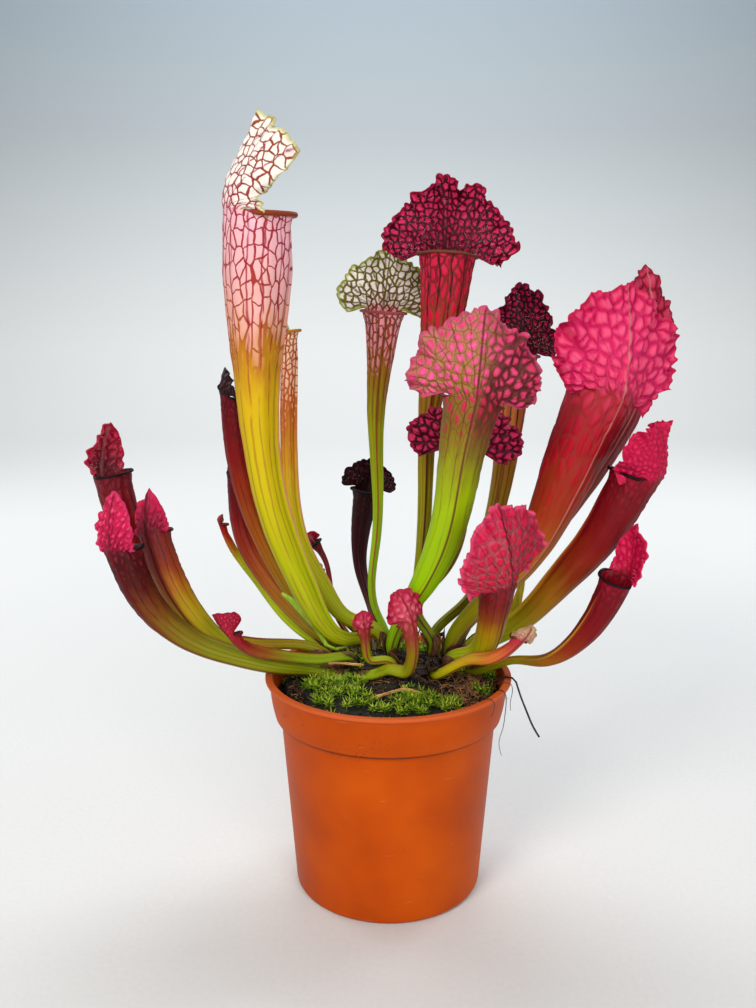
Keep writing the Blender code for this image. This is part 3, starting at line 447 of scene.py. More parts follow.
LEAVES = {
    "pitcher_tall_white": Leaf(
        slot=(170, 60),
        route=((-19, 13, 119, 2.8), (-41, 7, 145, 5.4), (-57, 0, 193, 6.6), (-61, -7, 259, 10.4),
               (-59, -9, 300, 14.8), (-58, -10, 323, 14.6)),
        faces=10, hood=(43, 24), look="white_net", finish="pitcher_pale", columns=24, cells=1.15,
        ears=104, tilt=24, arch=12, cup=(95, -60), wing=2.6, lip=3.0, slant=-1, shares=(1.0, 0.3),
        fullness=0.86, waist=0.42,
    ),
    "pitcher_narrow_white": Leaf(
        slot=(120, 60),
        route=((-21, 25, 126, 3.1), (-33, 30, 140, 3.5), (-43, 36, 157, 3.2), (-52, 46, 206, 3.4),
               (-50, 50, 271, 3.8)),
        faces=0, hood=(9, 6), look="cream_tube", finish="pitcher_pale", columns=12, size="small",
        ears=60, tilt=-55, slant=-2.0,
    ),
    "pitcher_white_hood": Leaf(
        slot=(105, 50),
        route=((-6, 34, 128, 1.9), (-6, 50, 162, 2.4), (-6, 64, 230, 4.8), (-4, 68, 256, 6.9),
               (-2, 70, 283, 10.3)),
        faces=-90, hood=(31, 26), look="cream_net", finish="pitcher_pale", columns=20, cells=1.25,
        cup=(5, 5), lean=3, wing=1.2, ruffle=1.9,
    ),
    "pitcher_tall_crimson": Leaf(
        slot=(75, 50),
        route=((15, 30, 140, 2.8), (19, 40, 176, 3.6), (21, 48, 226, 5.2), (27, 52, 272, 10.3),
               (30, 52, 308, 13.7)),
        faces=-90, hood=(41, 35), look="crimson_net", columns=24, cells=1.0,
        ear_length=0.5, cup=(5, 5), lean=-2, wing=1.2, slant=-3, ruffle=2.2, shares=(1.0, 1.1),
        fullness=0.42, relief=1.0,
    ),
    "pitcher_pink_hood": Leaf(
        slot=(-105, 62),
        route=((6, 8, 130, 3.5), (17, -6, 154, 6.2), (27, -16, 182, 8.3), (32, -24, 216, 10.0),
               (37, -26, 243, 12.3)),
        faces=90, hood=(40, 31), look="pink_on_olive", columns=20, cells=1.15,
        ears=108, ear_length=0.5, lean=7, wing=2.8, ruffle=1.8, shares=(0.9, 1.0), relief=1.0,
    ),
    "pitcher_dark_hood": Leaf(
        slot=(50, 45),
        route=((41, 34, 133, 2.6), (53, 46, 160, 4.2), (61, 54, 195, 5.8), (66, 60, 236, 7.9),
               (69, 62, 261, 9.5)),
        faces=-110, hood=(37, 23), look="dark_net", finish="pitcher_dark", columns=22, lean=-4,
        wing=1.4, ruffle=2.2, shares=(1.0, 0.95), fullness=0.3, relief=1.0,
    ),
    "pitcher_mid_crimson": Leaf(
        slot=(-20, 60),
        route=((15, 18, 130, 2.8), (27, 16, 157, 5.0), (34, 16, 187, 6.4), (37, 18, 214, 6.8)),
        faces=90, hood=(22, 32), look="crimson_net", columns=14, cells=1.3,
        size="middle", ruffle=2.0, relief=1.0,
    ),
    "pitcher_great_crimson": Leaf(
        slot=(0, 45),
        route=((41, 14, 131, 4.5), (65, 10, 159, 7.4), (81, 8, 192, 11.4), (92, 8, 221, 14.3),
               (101, 8, 243, 15.6)),
        faces=118, hood=(53, 28), look="hot_pink", columns=20, cells=1.25, tilt=8,
        arch=14, cup=(-20, 25), lean=20, wing=3.0, ruffle=2.0, shares=(0.82, 0.9), fullness=0.68,
        relief=1.0,
    ),
    "pitcher_great_crimson_back": Leaf(
        slot=(30, 25),
        route=((46, 26, 133, 3.6), (72, 34, 160, 6.2), (99, 40, 196, 8.8), (116, 42, 227, 10.7),
               (128, 44, 261, 11.7)),
        faces=115, hood=(43, 20), look="deep_red", columns=16, cells=1.3, arch=8,
        cup=(5, 5), lean=29, shares=(0.5, 1.0), fullness=0.42, relief=0.9,
    ),
    "pitcher_right_arching": Leaf(
        slot=(-5, 22),
        route=((60, 8, 126, 4.5), (83, 0, 152, 6.5), (100, -6, 176, 8.5), (115, -8, 207, 11.1)),
        faces=170, hood=(27, 27), look="puckered_crimson", columns=26, cells=1.0,
        size="middle", ears=110, tilt=22, arch=8, cup=(10, 100), fullness=0.8, relief=1.1,
    ),
    "pitcher_right_open": Leaf(
        slot=(-18, 2),
        route=((61, 0, 113, 2.1), (74, -9, 116, 2.9), (87, -17, 127, 4.7), (97, -23, 144, 6.3),
               (104, -27, 163, 7.1)),
        faces=-150, hood=(25, 7.5), look="puckered_crimson", columns=16,
        size="middle", ears=100, lean=-10, lip=1.6, ruffle=2.2, fullness=0.28,
    ),
    "pitcher_front_pink": Leaf(
        slot=(-40, 25),
        route=((42, -4, 117, 3.9), (46, -10, 124, 5.3), (48, -20, 140, 6.8), (49, -32, 162, 8.1)),
        faces=125, hood=(46, 20), look="pink_on_salmon", columns=16, cells=1.6,
        size="middle", ears=104, ear_length=0.56, tilt=6, cup=(0, 25), lean=8, ruffle=2.0,
        shares=(1.0, 0.86), relief=0.9,
    ),
    "pitcher_front_withered": Leaf(
        slot=(-62, 5),
        route=((39, -15, 118, 2.1), (46, -22, 121, 2.6), (54, -27, 127, 2.5), (60, -31, 135, 2.5)),
        faces=110, hood=(9, 5.5), look="withered", finish="pitcher_pale", columns=10, size="small",
        ears=100, ruffle=5.0, relief=0.8,
    ),
    "pitcher_front_small": Leaf(
        slot=(-122, 2),
        route=((-6, -1, 105.5, 1.7), (1, -5, 109, 1.8), (8, -9, 109.5, 2.2), (11, -12, 116, 2.6),
               (9, -13, 138, 3.8)),
        faces=120, hood=(16, 9), look="small_pink", finish="pitcher_pale", columns=8, size="small",
        ears=95, lean=10, ruffle=3.5, relief=0.9,
    ),
    "pitcher_front_bud": Leaf(
        slot=(-95, 25),
        route=((0, 0, 113, 2.0), (-9, -2, 114, 2.0), (-11, -3, 121, 2.2), (-12, -4, 132, 2.7)),
        faces=100, hood=(8, 4.5), look="small_pink", finish="pitcher_pale", columns=7, size="small",
        ears=80, ruffle=3.5,
    ),
    "pitcher_left_open": Leaf(
        slot=(178, 15),
        route=((-60, 18, 115, 2.5), (-93, 21, 121, 4.1), (-121, 24, 150, 7.1), (-135, 26, 186, 8.5),
               (-138, 26, 202, 9.0)),
        faces=-35, hood=(26, 6.5), look="maroon", finish="pitcher_dark", columns=14, size="middle",
        ears=80, tilt=8, lean=16, lip=1.6, slant=0.0, ruffle=4.5, fullness=0.33,
    ),
    "pitcher_left_outer": Leaf(
        slot=(-142, 0),
        route=((-35, 2, 106, 2.2), (-50, -6, 111, 3.2), (-71, -10, 117, 3.8), (-94, -13, 127, 4.7),
               (-114, -16, 149, 7.0), (-123, -18, 174, 7.8)),
        faces=60, hood=(29, 8.0), look="mottled_crimson", columns=18, cells=1.3,
        size="middle", ears=100, ear_length=2.0, lean=-24, wing=3.4, ruffle=3.0, fullness=0.3,
        relief=1.2,
    ),
    "pitcher_left_inner": Leaf(
        slot=(-158, 12),
        route=((-39, 9, 108, 2.3), (-53, 4, 112, 3.2), (-75, 2, 118, 4.2), (-95, 0, 136, 6.3),
               (-107, -1, 160, 7.2), (-112, -2, 179, 7.1)),
        faces=75, hood=(21, 8.5), look="brown_pink", columns=14,
        size="middle", ears=100, lean=-14, ruffle=2.6, shares=(0.85, 0.35), fullness=0.42, relief=0.9,
    ),
    "pitcher_left_bud": Leaf(
        slot=(-140, 28),
        route=((-30, 0, 113, 1.6), (-43, -5, 115, 1.7), (-54, -12, 119, 1.9), (-63, -17, 123, 2.1),
               (-68, -20, 127, 2.1), (-73, -22, 134, 2.5)),
        faces=45, hood=(12, 7), look="red_bud", columns=10, size="small", ears=70,
        arch=30, cup=(60, 60), lean=3.0, fullness=0.75,
    ),
    "pitcher_maroon_left": Leaf(
        slot=(165, 30),
        route=((-38, 22, 126, 3.2), (-49, 25, 140, 3.8), (-70, 30, 186, 5.7), (-76, 31, 218, 6.3),
               (-77, 32, 240, 6.5)),
        faces=10, hood=(13, 14), look="dark_curl", finish="pitcher_dark", columns=16, size="middle",
        ears=100, tilt=8, cup=(30, -30),
    ),
    "pitcher_maroon_low": Leaf(
        slot=(138, 18),
        route=((-29, 27, 114, 3.0), (-44, 32, 124, 4.3), (-66, 44, 147, 5.3), (-75, 50, 162, 5.6),
               (-79, 54, 195, 5.6)),
        faces=10, hood=(8, 8), look="dark_curl", finish="pitcher_dark", columns=14, size="middle",
        ears=80,
    ),
    "pitcher_green_curl": Leaf(
        slot=(152, 5),
        route=((-46, 34, 116, 1.4), (-73, 56, 140, 1.4), (-86, 64, 156, 1.5), (-91, 66, 169, 1.7)),
        faces=0, hood=(5, 5), look="green_hook", finish="leaf_green", columns=8, size="small", ears=100,
        tilt=30, arch=60,
    ),
    "pitcher_tiny_red": Leaf(
        slot=(115, 20),
        route=((-24, 42, 121, 1.4), (-30, 47, 135, 1.4), (-33, 54, 149, 1.4), (-40, 58, 160, 2.2)),
        faces=-90, hood=(5, 4.5), look="maroon", finish="pitcher_dark", columns=8, size="small",
        ears=80,
    ),
    "pitcher_tiny_curl": Leaf(
        slot=(124, 12),
        route=((-24, 34, 120, 1.3), (-30, 37, 133, 1.3), (-35, 42, 143, 1.3), (-37, 44, 148, 1.4)),
        faces=-90, hood=(3.5, 3), look="maroon", finish="pitcher_dark", columns=8, size="small",
        ears=80,
    ),
    "pitcher_black_hood": Leaf(
        slot=(95, 8),
        route=((-6, 50, 116, 2.1), (-9, 62, 122, 2.3), (-15, 78, 141, 3.7), (-15, 84, 158, 5.1),
               (-11, 88, 184, 7.4)),
        faces=-90, hood=(16, 16), look="black_maroon", finish="pitcher_dark", columns=18, size="middle",
        ears=104,
    ),
}


def smooth_step(value):
    """0 below 0 and 1 above 1, with a soft rise between."""
    value = np.clip(value, 0, 1)
    return value * value * (3 - 2 * value)


def smooth_curve(knots, values, at):
    """A natural cubic spline through the values at the knots, read at the given places."""
    gaps = np.diff(knots)
    slopes = np.diff(values, axis=0) / gaps[:, None]
    count = len(knots)
    system = np.eye(count)
    wanted = np.zeros_like(values)
    for i in range(1, count - 1):
        system[i, i - 1] = gaps[i - 1]
        system[i, i] = 2 * (gaps[i - 1] + gaps[i])
        system[i, i + 1] = gaps[i]
        wanted[i] = 6 * (slopes[i] - slopes[i - 1])
    bend = np.linalg.solve(system, wanted)
    piece = np.clip(np.searchsorted(knots, at) - 1, 0, count - 2)
    gap = gaps[piece][:, None]
    before = (knots[piece + 1] - at)[:, None] / gap
    after = (at - knots[piece])[:, None] / gap
    curved = (before**3 - before) * bend[piece] + (after**3 - after) * bend[piece + 1]
    return before * values[piece] + after * values[piece + 1] + curved * gap**2 / 6


def travelled(points):
    """How far along a line of points each one is."""
    return np.concatenate([[0], np.cumsum(np.linalg.norm(np.diff(points, axis=0), axis=1))])


def drawn_through(points, count):
    """Evenly spaced rows of a smooth curve through x, y, z and any values kept with them."""
    knots = np.array(points, float)
    at = travelled(knots[:, :3])
    return smooth_curve(at, knots, np.linspace(0, at[-1], count))


def leaf_knots(slot, route):
    """The route with the leaf's foot on the crown and its short stalk before it."""
    round_angle, rise_angle = (math.radians(angle) for angle in slot)
    place = np.array([
        math.cos(rise_angle) * math.cos(round_angle),
        math.cos(rise_angle) * math.sin(round_angle),
        math.sin(rise_angle),
    ])
    foot = CROWN_CENTRE + CROWN_HALF * place
    out = unit(place / CROWN_HALF)
    first = route[0]
    foot_radius = min(FOOT_RADIUS, 0.75 * first[3])
    return [
        (*(foot + out * SEAT_GAP), foot_radius),
        (*(foot + out * LEAF_STALK), 0.5 * (foot_radius + first[3])),
        *route,
    ], out


def read_at(at, along, table):
    """The rows of a table kept along a line, read at other places along it."""
    return np.stack([np.interp(at, along, column) for column in table.T], axis=1)


def centre_line(slot, route, faces, pitch):
    """Points up a leaf at about this spacing, with their radius, direction and front."""
    knots, out = leaf_knots(slot, route)
    dense = drawn_through(knots, LINE_STEPS)
    along = travelled(dense[:, :3])
    direction = unit(np.gradient(dense[:, :3], along, axis=0))
    direction[0] = out
    front = np.zeros_like(direction)
    angle = math.radians(faces)
    carried = np.array([math.cos(angle), math.sin(angle), 0.0])
    for i in reversed(range(len(dense))):
        carried = unit(carried - direction[i] * carried.dot(direction[i]))
        front[i] = carried
    at = np.linspace(0, along[-1], int(along[-1] / pitch) + 2)
    read = read_at(at, along, dense)
    tangent = unit(read_at(at, along, direction))
    facing = read_at(at, along, front)
    facing = unit(facing - tangent * (facing * tangent).sum(axis=1)[:, None])
    return read[:, :3], read[:, 3], tangent, facing, at


def outward_from(side, facing, angles):
    """Directions out of a tube at these angles from the middle of its back."""
    return side[:, None] * np.sin(angles)[..., None] - facing[:, None] * np.cos(angles)[..., None]


def waves(at, lengths, draw):
    """A sum of sines of these wave lengths in mm, each with a phase of its own."""
    return sum(np.sin(2 * math.pi * at / length + draw.uniform(0, 6)) for length in lengths) / len(lengths)


def hood_rays(leaf, start, across, mouth_radius, frame_axes, cell):
    """The hood's middle sheet and its net coordinates, step by step from the neck to the margin."""
    tangent, facing, side = frame_axes
    height, half_width = leaf.hood
    lean = math.radians(leaf.lean)
    up = unit(tangent * math.cos(lean) + side * math.sin(lean))
    sideways = unit(side * math.cos(lean) - tangent * math.sin(lean))
    spread = math.radians(leaf.ears) * across
    side_reach = half_width - 0.8 * mouth_radius * math.sin(NECK_HALF_ANGLE)
    shoulder = leaf.fullness * height + 0.5 * side_reach
    lengths = np.interp(
        abs(np.degrees(spread)),
        (0, 45, 56, 90, 116),
        (height, shoulder, leaf.waist * (0.75 * shoulder + 0.25 * side_reach), side_reach,
         leaf.ear_length * side_reach),
    )
    lengths = lengths * np.where(across < 0, *leaf.shares) ** abs(np.sin(spread))
    turned_side = np.radians(np.where(across < 0, *leaf.cup)) * across
    upright = np.clip(np.cos(spread), 0, 1)
    point = start.copy()
    net = np.stack([across * NECK_HALF_ANGLE * leaf.columns / (2 * math.pi), 0 * across], axis=1)
    sheet = [point.copy()]
    nets = [net.copy()]
    for step in range(HOOD_STEPS):
        share = (step + 0.5) / HOOD_STEPS
        opened = smooth_step(share / HOOD_OPEN_BY)
        turn = spread * (0.55 + 0.45 * opened)
        bow = across * NECK_HALF_ANGLE * (1 - opened) + turned_side * opened
        nod = np.radians(leaf.tilt * opened + leaf.arch * share**2 * upright)
        ahead = up * np.cos(nod)[:, None] + facing * np.sin(nod)[:, None]
        face = facing * np.cos(nod)[:, None] - up * np.sin(nod)[:, None]
        outward = sideways * np.cos(bow)[:, None] + face * np.sin(bow)[:, None]
        stride = ahead * np.cos(turn)[:, None] + outward * np.sin(turn)[:, None]
        point = point + stride * (lengths[:, None] / HOOD_STEPS)
        grown = cell * (1 + (leaf.cells - 1) * smooth_step(share / HOOD_CELLS_FULL_BY))
        net = net + np.stack([np.sin(turn), np.cos(turn)], axis=1) * (lengths[:, None] / HOOD_STEPS / grown)
        sheet.append(point.copy())
        nets.append(net.copy())
    return np.array(sheet), np.array(nets), lengths


def between_rows(sheet, rows):
    """A sheet of points or values read at this many even steps from its first row to its last."""
    wanted = np.linspace(0, len(sheet) - 1, rows + 1)
    low = np.minimum(wanted.astype(int), len(sheet) - 2)
    part_way = (wanted - low)[:, None, None]
    return sheet[low] * (1 - part_way) + sheet[low + 1] * part_way


def hood_grid(leaf, start, across, mouth_radius, frame_axes, cell, rows, draw):
    """The hood's ruffled, scalloped sheet with its normals, net coordinates and margin distances."""
    sheet, nets, lengths = hood_rays(leaf, start, across, mouth_radius, frame_axes, cell)
    grid = between_rows(sheet, rows)
    net = between_rows(nets, rows)
    share = np.linspace(0, 1, rows + 1)[:, None]
    size = min(1.0, leaf.hood[1] / 30)
    margin = travelled(grid[-1])
    lobe = LOBE_DEPTH * waves(margin, LOBE_LENGTHS, draw) * share**3
    crinkle = abs(np.sin(math.pi * margin / CRINKLE_LENGTH + 1.2 * waves(margin, (15.0, 22.0), draw)))
    uneven = 0.75 + 0.5 * waves(margin, (11.0, 17.0), draw)
    reach = lobe + (crinkle**0.8 - 0.6) * uneven * CRINKLE_DEPTH * min(1, 1.5 * size) / lengths * share**5
    grid[1:] += (grid[1:] - grid[:1]) * reach[1:, :, None]
    along = np.gradient(grid, axis=0)
    around = np.gradient(grid, axis=1)
    normal = unit(np.cross(along, around))
    if normal[0, len(across) // 2] @ frame_axes[1] > 0:
        normal = -normal
    big = waves(margin, (RUFFLE_LENGTH, RUFFLE_LENGTH * 1.37), draw)
    fine = waves(margin, (RUFFLE_LENGTH * 0.47, RUFFLE_LENGTH * 0.31), draw)
    lift = leaf.ruffle * size * (1.9 * share**3 * big + 1.3 * share**7 * fine)
    midrib = np.exp(-(across * 18) ** 2) * (1 - 0.6 * share) * smooth_step(share / 0.1)
    lift = lift + MIDRIB_RISE * size * midrib
    grid = grid + normal * lift[..., None]
    width = np.linalg.norm(np.diff(grid, axis=1), axis=2)
    from_left = np.column_stack([np.zeros(rows + 1), np.cumsum(width, axis=1)])
    from_right = from_left[:, -1:] - from_left
    from_top = (1 - share) * lengths[None, :]
    edge = np.minimum(from_top, np.minimum(from_left, from_right))
    return grid, normal, net, edge, np.gradient(from_left, axis=1)


def fanned(lower, upper):
    """Triangles from a row of point numbers to one with several times as many spaces."""
    share = (len(upper) - 1) // (len(lower) - 1)
    middle = (share + 1) // 2
    faces = []
    for k in range(len(lower) - 1):
        for j in range(share):
            corner = lower[k] if j < middle else lower[k + 1]
            faces.append((corner, upper[k * share + j + 1], upper[k * share + j]))
        faces.append((lower[k], lower[k + 1], upper[k * share + middle]))
    return faces


def leaf_skin(name, leaf, draw):
    """One leaf: outer wall with its wing, nectar lip, inner wall and both sides of the hood.

    It gives the hood's middle sheet and normals.
    """
    pitch = PITCH[leaf.size]
    centre, radius, tangent, facing, along = centre_line(leaf.slot, leaf.route, leaf.faces, 1.5 * pitch)
    side = np.cross(tangent, facing)
    rings = len(centre)
    progress = along / along[-1]
    mouth = radius[-1]
    back_count = int(np.clip(2 * NECK_HALF_ANGLE * mouth / pitch, 8, 26))
    front_count = int(np.clip((math.pi - NECK_HALF_ANGLE) * mouth / pitch / 1.3, 5, 18))

    fin_angles = math.pi - FIN_SIDE * (np.minimum(1, radius / 2.6) / radius)[:, None]
    front_share = np.linspace(0, 1, front_count + 2)[1:-1]
    front_angles = NECK_HALF_ANGLE + (fin_angles[:, -1:] - NECK_HALF_ANGLE) * front_share
    half = np.concatenate([front_angles, fin_angles[:, ::-1]], axis=1)
    back = np.broadcast_to(np.linspace(-NECK_HALF_ANGLE, NECK_HALF_ANGLE, back_count + 1),
                           (rings, back_count + 1))
    angles = np.concatenate([-half[:, ::-1], back, half], axis=1)
    fin = np.concatenate([FIN_RISE, np.zeros(2 * front_count + back_count + 1), FIN_RISE[::-1]])
    half_count = half.shape[1]
    front_weight = np.clip((abs(angles) - NECK_HALF_ANGLE) / LIP_SPREAD, 0, 1)

    fade = np.sin(math.pi * np.minimum(1, 0.06 + 0.9 * progress)) ** 0.6
    fade = fade * (1 - smooth_step((progress - 0.9) / 0.1))
    near_mouth = smooth_step((along - along[-1] + LIP_RUN) / LIP_RUN)
    uneven = 1 + TUBE_WAVER * waves(along, (31.0, 47.0, 17.0), draw)
    fluting = 1 + FLUTE_DEPTH * np.cos(angles * FLUTES + 0.4 * np.sin(along / 21)[:, None])
    reach = radius[:, None] * uneven[:, None] * fluting + leaf.wing * fade[:, None] * fin
    reach = reach + LIP_FLARE * leaf.lip * front_weight * near_mouth[:, None] ** 2
    slanted = smooth_step((progress - 0.7) / 0.3)[:, None] * leaf.slant * (1 - np.cos(angles)) / 2
    drop = slanted + LIP_DROP * leaf.lip * front_weight * near_mouth[:, None]
    outward = outward_from(side, facing, angles)
    wall = centre[:, None] + outward * reach[..., None] - tangent[:, None] * drop[..., None]

    cell = 2 * math.pi * mouth / leaf.columns
    cell_height = cell * (CELL_LENGTH + CELL_STRETCH * (1 - smooth_step((progress - 0.45) / 0.55)))
    climbed = np.concatenate([[0], np.cumsum(np.diff(along) / cell_height[1:])])
    climbed = climbed - climbed[-1]
    cells_across = 2 * math.pi * radius / leaf.columns
    points = []
    facts = {"net": [], "span": [], "marks": [], "fan": [], "push": []}
    faces = []

    def laid(new, **values):
        """Adds a grid of points with the facts that its material reads, and gives their numbers."""
        first = sum(len(group) for group in points)
        shape = new.shape[:-1]
        points.append(new.reshape(-1, 3))
        for fact, columns in values.items():
            spread_out = np.stack([np.broadcast_to(column, shape) for column in columns], axis=-1)
            facts[fact].append(spread_out.reshape(-1, 3))
        return np.arange(first, first + len(points[-1])).reshape(shape)

    relief = smooth_step((progress - 0.5) / 0.4)[:, None] * TUBE_RELIEF * leaf.relief * (1 - fin)
    tube_facts = dict(
        net=(angles * leaf.columns / (2 * math.pi), climbed[:, None], progress[:, None]),
        span=(cells_across[:, None], cell_height[:, None], FAR_FROM_MARGIN),
        fan=(angles * LENGTHWISE_VEINS / (2 * math.pi),
             2 * math.pi * radius[:, None] / LENGTHWISE_VEINS, 0.0),
    )
    outer = laid(wall, marks=(0.0, fin * fade[:, None], np.sin(angles)),
                 push=tuple(np.moveaxis(outward * relief[..., None], -1, 0)), **tube_facts)
    faces += grid_faces(outer) + [outer[0][:-1].tolist()]

    inside = [i for i in range(rings - 1, 0, -3) if progress[i] > 1 - HOLLOW_SHARE]
    bore = np.maximum(reach - leaf.wing * fade[:, None] * fin - LEAF_WALL, 0.5)
    inner_drop = slanted + LIP_INNER_DROP * leaf.lip * front_weight * near_mouth[:, None]
    lining = centre[:, None] + outward * bore[..., None] - tangent[:, None] * inner_drop[..., None]
    inner = laid(lining[inside], marks=(0.0, 0.0, np.sin(angles[inside])), push=(0.0, 0.0, 0.0),
                 **{fact: tuple(value[inside] if np.ndim(value) else value for value in values)
                    for fact, values in tube_facts.items()})
    faces += grid_faces(inner) + [inner[-1][:-1].tolist()]

    turn_round = np.radians(np.linspace(-145, 155, RIM_STEPS))[:, None]
    over = np.radians(np.linspace(15, 165, RIM_STEPS))[:, None]
    weight = front_weight[-1]
    roll_out = reach[-1] + LIP_REACH * leaf.lip + LIP_ROLL * leaf.lip * np.cos(turn_round)
    roll_up = -LIP_ROLL * leaf.lip + LIP_ROLL * leaf.lip * np.sin(turn_round)
    plain_out = reach[-1] - LEAF_WALL / 2 + LEAF_WALL / 2 * np.cos(over)
    plain_up = LEAF_WALL / 2 * np.sin(over)
    bead_out = weight * roll_out + (1 - weight) * plain_out
    bead_up = weight * roll_up + (1 - weight) * plain_up - slanted[-1]
    bead = centre[-1] + outward[-1] * bead_out[..., None] + tangent[-1] * bead_up[..., None]
    rim_net = (angles[-1] * leaf.columns / (2 * math.pi), 0.0, 1.0)
    rim = laid(bead, net=rim_net, span=(cell, cell, 3.0), marks=(weight, 0.0, np.sin(angles[-1])),
               fan=(0.0, 1.0, 0.0), push=(0.0, 0.0, 0.0))
    lip_strip = np.concatenate([outer[-1:], rim, inner[:1]])
    left_corner = half_count
    right_corner = half_count + back_count
    faces += grid_faces(lip_strip[:, : left_corner + 1])
    faces += grid_faces(lip_strip[:, right_corner:])

    rows = max(6, int(leaf.hood[0] / pitch))
    margin_length = 3.6 * (leaf.hood[0] + leaf.hood[1])
    each = max(2, int(margin_length / pitch / back_count))
    across = np.linspace(-1, 1, back_count * each + 1)
    neck = (wall[-1] + lining[-1])[left_corner : right_corner + 1] / 2
    neck_place = np.linspace(-1, 1, back_count + 1)
    start = np.stack([np.interp(across, neck_place, neck[:, axis]) for axis in range(3)], axis=1)
    axes = (tangent[-1], facing[-1], side[-1])
    grid, normal, net, edge, ray_gap = hood_grid(leaf, start, across, mouth, axes, cell, rows, draw)
    share = np.linspace(0, 1, rows + 1)[:, None]
    cell_there = cell * (1 + (leaf.cells - 1) * smooth_step(share / HOOD_CELLS_FULL_BY))
    swell = leaf.relief * (0.35 + 0.65 * smooth_step(share / 0.25)) * smooth_step(edge / 1.5)
    hood_facts = dict(
        net=(net[..., 0], net[..., 1], 1 + share),
        span=(cell_there, cell_there, edge),
        marks=(0.0, 0.0, across),
        fan=(across * HOOD_HALF_VEINS, ray_gap / ((across[1] - across[0]) * HOOD_HALF_VEINS), 0.0),
        push=tuple(np.moveaxis(normal * swell[..., None], -1, 0)),
    )
    above = {fact: tuple(value[1:] if np.ndim(value) == 2 else value for value in values)
             for fact, values in hood_facts.items()}
    back_hood, front_hood = (laid((grid + sign * normal * HOOD_THICKNESS / 2)[1:], **above)
                             for sign in (1, -1))
    faces += fanned(outer[-1][left_corner : right_corner + 1].tolist(), back_hood[0].tolist())
    faces += fanned(inner[0][left_corner : right_corner + 1].tolist(), front_hood[0].tolist())
    faces += grid_faces(back_hood)
    faces += grid_faces(front_hood)

    def round_the_margin(table):
        """The values along the hood's margin, up the left side, over the top and down the right."""
        return np.concatenate([table[:, 0], table[-1, 1:], table[-2::-1, -1]])

    middle = round_the_margin(grid[1:])
    within = np.concatenate([grid[1:, 1], grid[-2, 1:], grid[-2:0:-1, -2]])
    out_from = unit(middle - within)
    stand = round_the_margin(normal[1:])
    hem = middle + HEM_HALF * (stand * np.cos(over)[..., None] + out_from * np.sin(over)[..., None])
    hem_net = [round_the_margin(np.broadcast_to(value, edge.shape)[1:]) for value in hood_facts["net"]]
    hem_push = [round_the_margin(value[1:]) for value in hood_facts["push"]]
    hem_points = laid(hem, net=hem_net, span=(cell, cell, 0.0), marks=(0.0, 0.0, 0.0),
                      fan=(0.5, 1.0, 0.0), push=hem_push)
    strip = np.concatenate([round_the_margin(back_hood)[None], hem_points,
                            round_the_margin(front_hood)[None]])
    left_end = lip_strip[:, left_corner : left_corner + 1]
    right_end = lip_strip[:, right_corner : right_corner + 1]
    faces += grid_faces(np.concatenate([left_end, strip, right_end], axis=1))

    item = made(name + "_leaf", np.concatenate(points), faces, leaf_material(leaf.look), leaf.finish,
                (name,), {fact: np.concatenate(values) for fact, values in facts.items()})
    puckered = item.modifiers.new("puckering", "NODES")
    puckered.node_group = puckering
    bpy.context.view_layer.objects.active = item
    bpy.ops.object.modifier_apply(modifier=puckered.name)
    return grid, normal


def from_nearest_vein(tree, net, span, cell_round):
    """The distance in mm to the nearest vein of the net, and how lengthwise that vein runs.

    The net is the edges between cells of a Voronoi pattern. It is measured in cells, so the way to
    the neighbour cell turns it into mm: the veins then keep their width on long and short cells.
    Veins widen where they meet, so the way left to a circle round the cell rounds its corners. The
    last of the three is the distance without that.
    """
    wander = add(tree, "TexNoise", {"Vector": net, "Scale": 1.1, "Detail": 1.0})
    warped = add(tree, "VectorMath", (wander.outputs["Color"], (0.5, 0.5, 0.0), net),
                 operation="MULTIPLY_ADD")
    cells = dict(voronoi_dimensions="2D")
    pattern = {"Vector": warped, "Scale": 1.0, "Randomness": 0.85}
    edge = add(tree, "TexVoronoi", pattern, feature="DISTANCE_TO_EDGE", **cells)
    own = add(tree, "TexVoronoi", pattern, feature="F1", **cells)
    neighbour = add(tree, "TexVoronoi", pattern, feature="F2", **cells)
    apart = add(tree, "VectorMath", (neighbour.outputs["Position"], own.outputs["Position"]),
                operation="SUBTRACT")
    way = add(tree, "VectorMath", (apart,), operation="NORMALIZE")
    per_mm = add(tree, "VectorMath", (way, span), operation="DIVIDE")
    steepness = add(tree, "VectorMath", (per_mm,), operation="LENGTH")
    straight = add(tree, "Math", (edge.outputs["Distance"], steepness.outputs["Value"]), operation="DIVIDE")
    inside = add(tree, "Math", (cell_round, own.outputs["Distance"]), operation="SUBTRACT")
    across = add(tree, "SeparateXYZ", (span,))
    to_circle = add(tree, "Math", (inside, across), operation="MULTIPLY")
    distance = add(tree, "Math", (straight, to_circle, 0.4), operation="SMOOTH_MIN")
    lengthwise = add(tree, "SeparateXYZ", (way,))
    return distance, add(tree, "Math", (lengthwise,), operation="ABSOLUTE"), straight


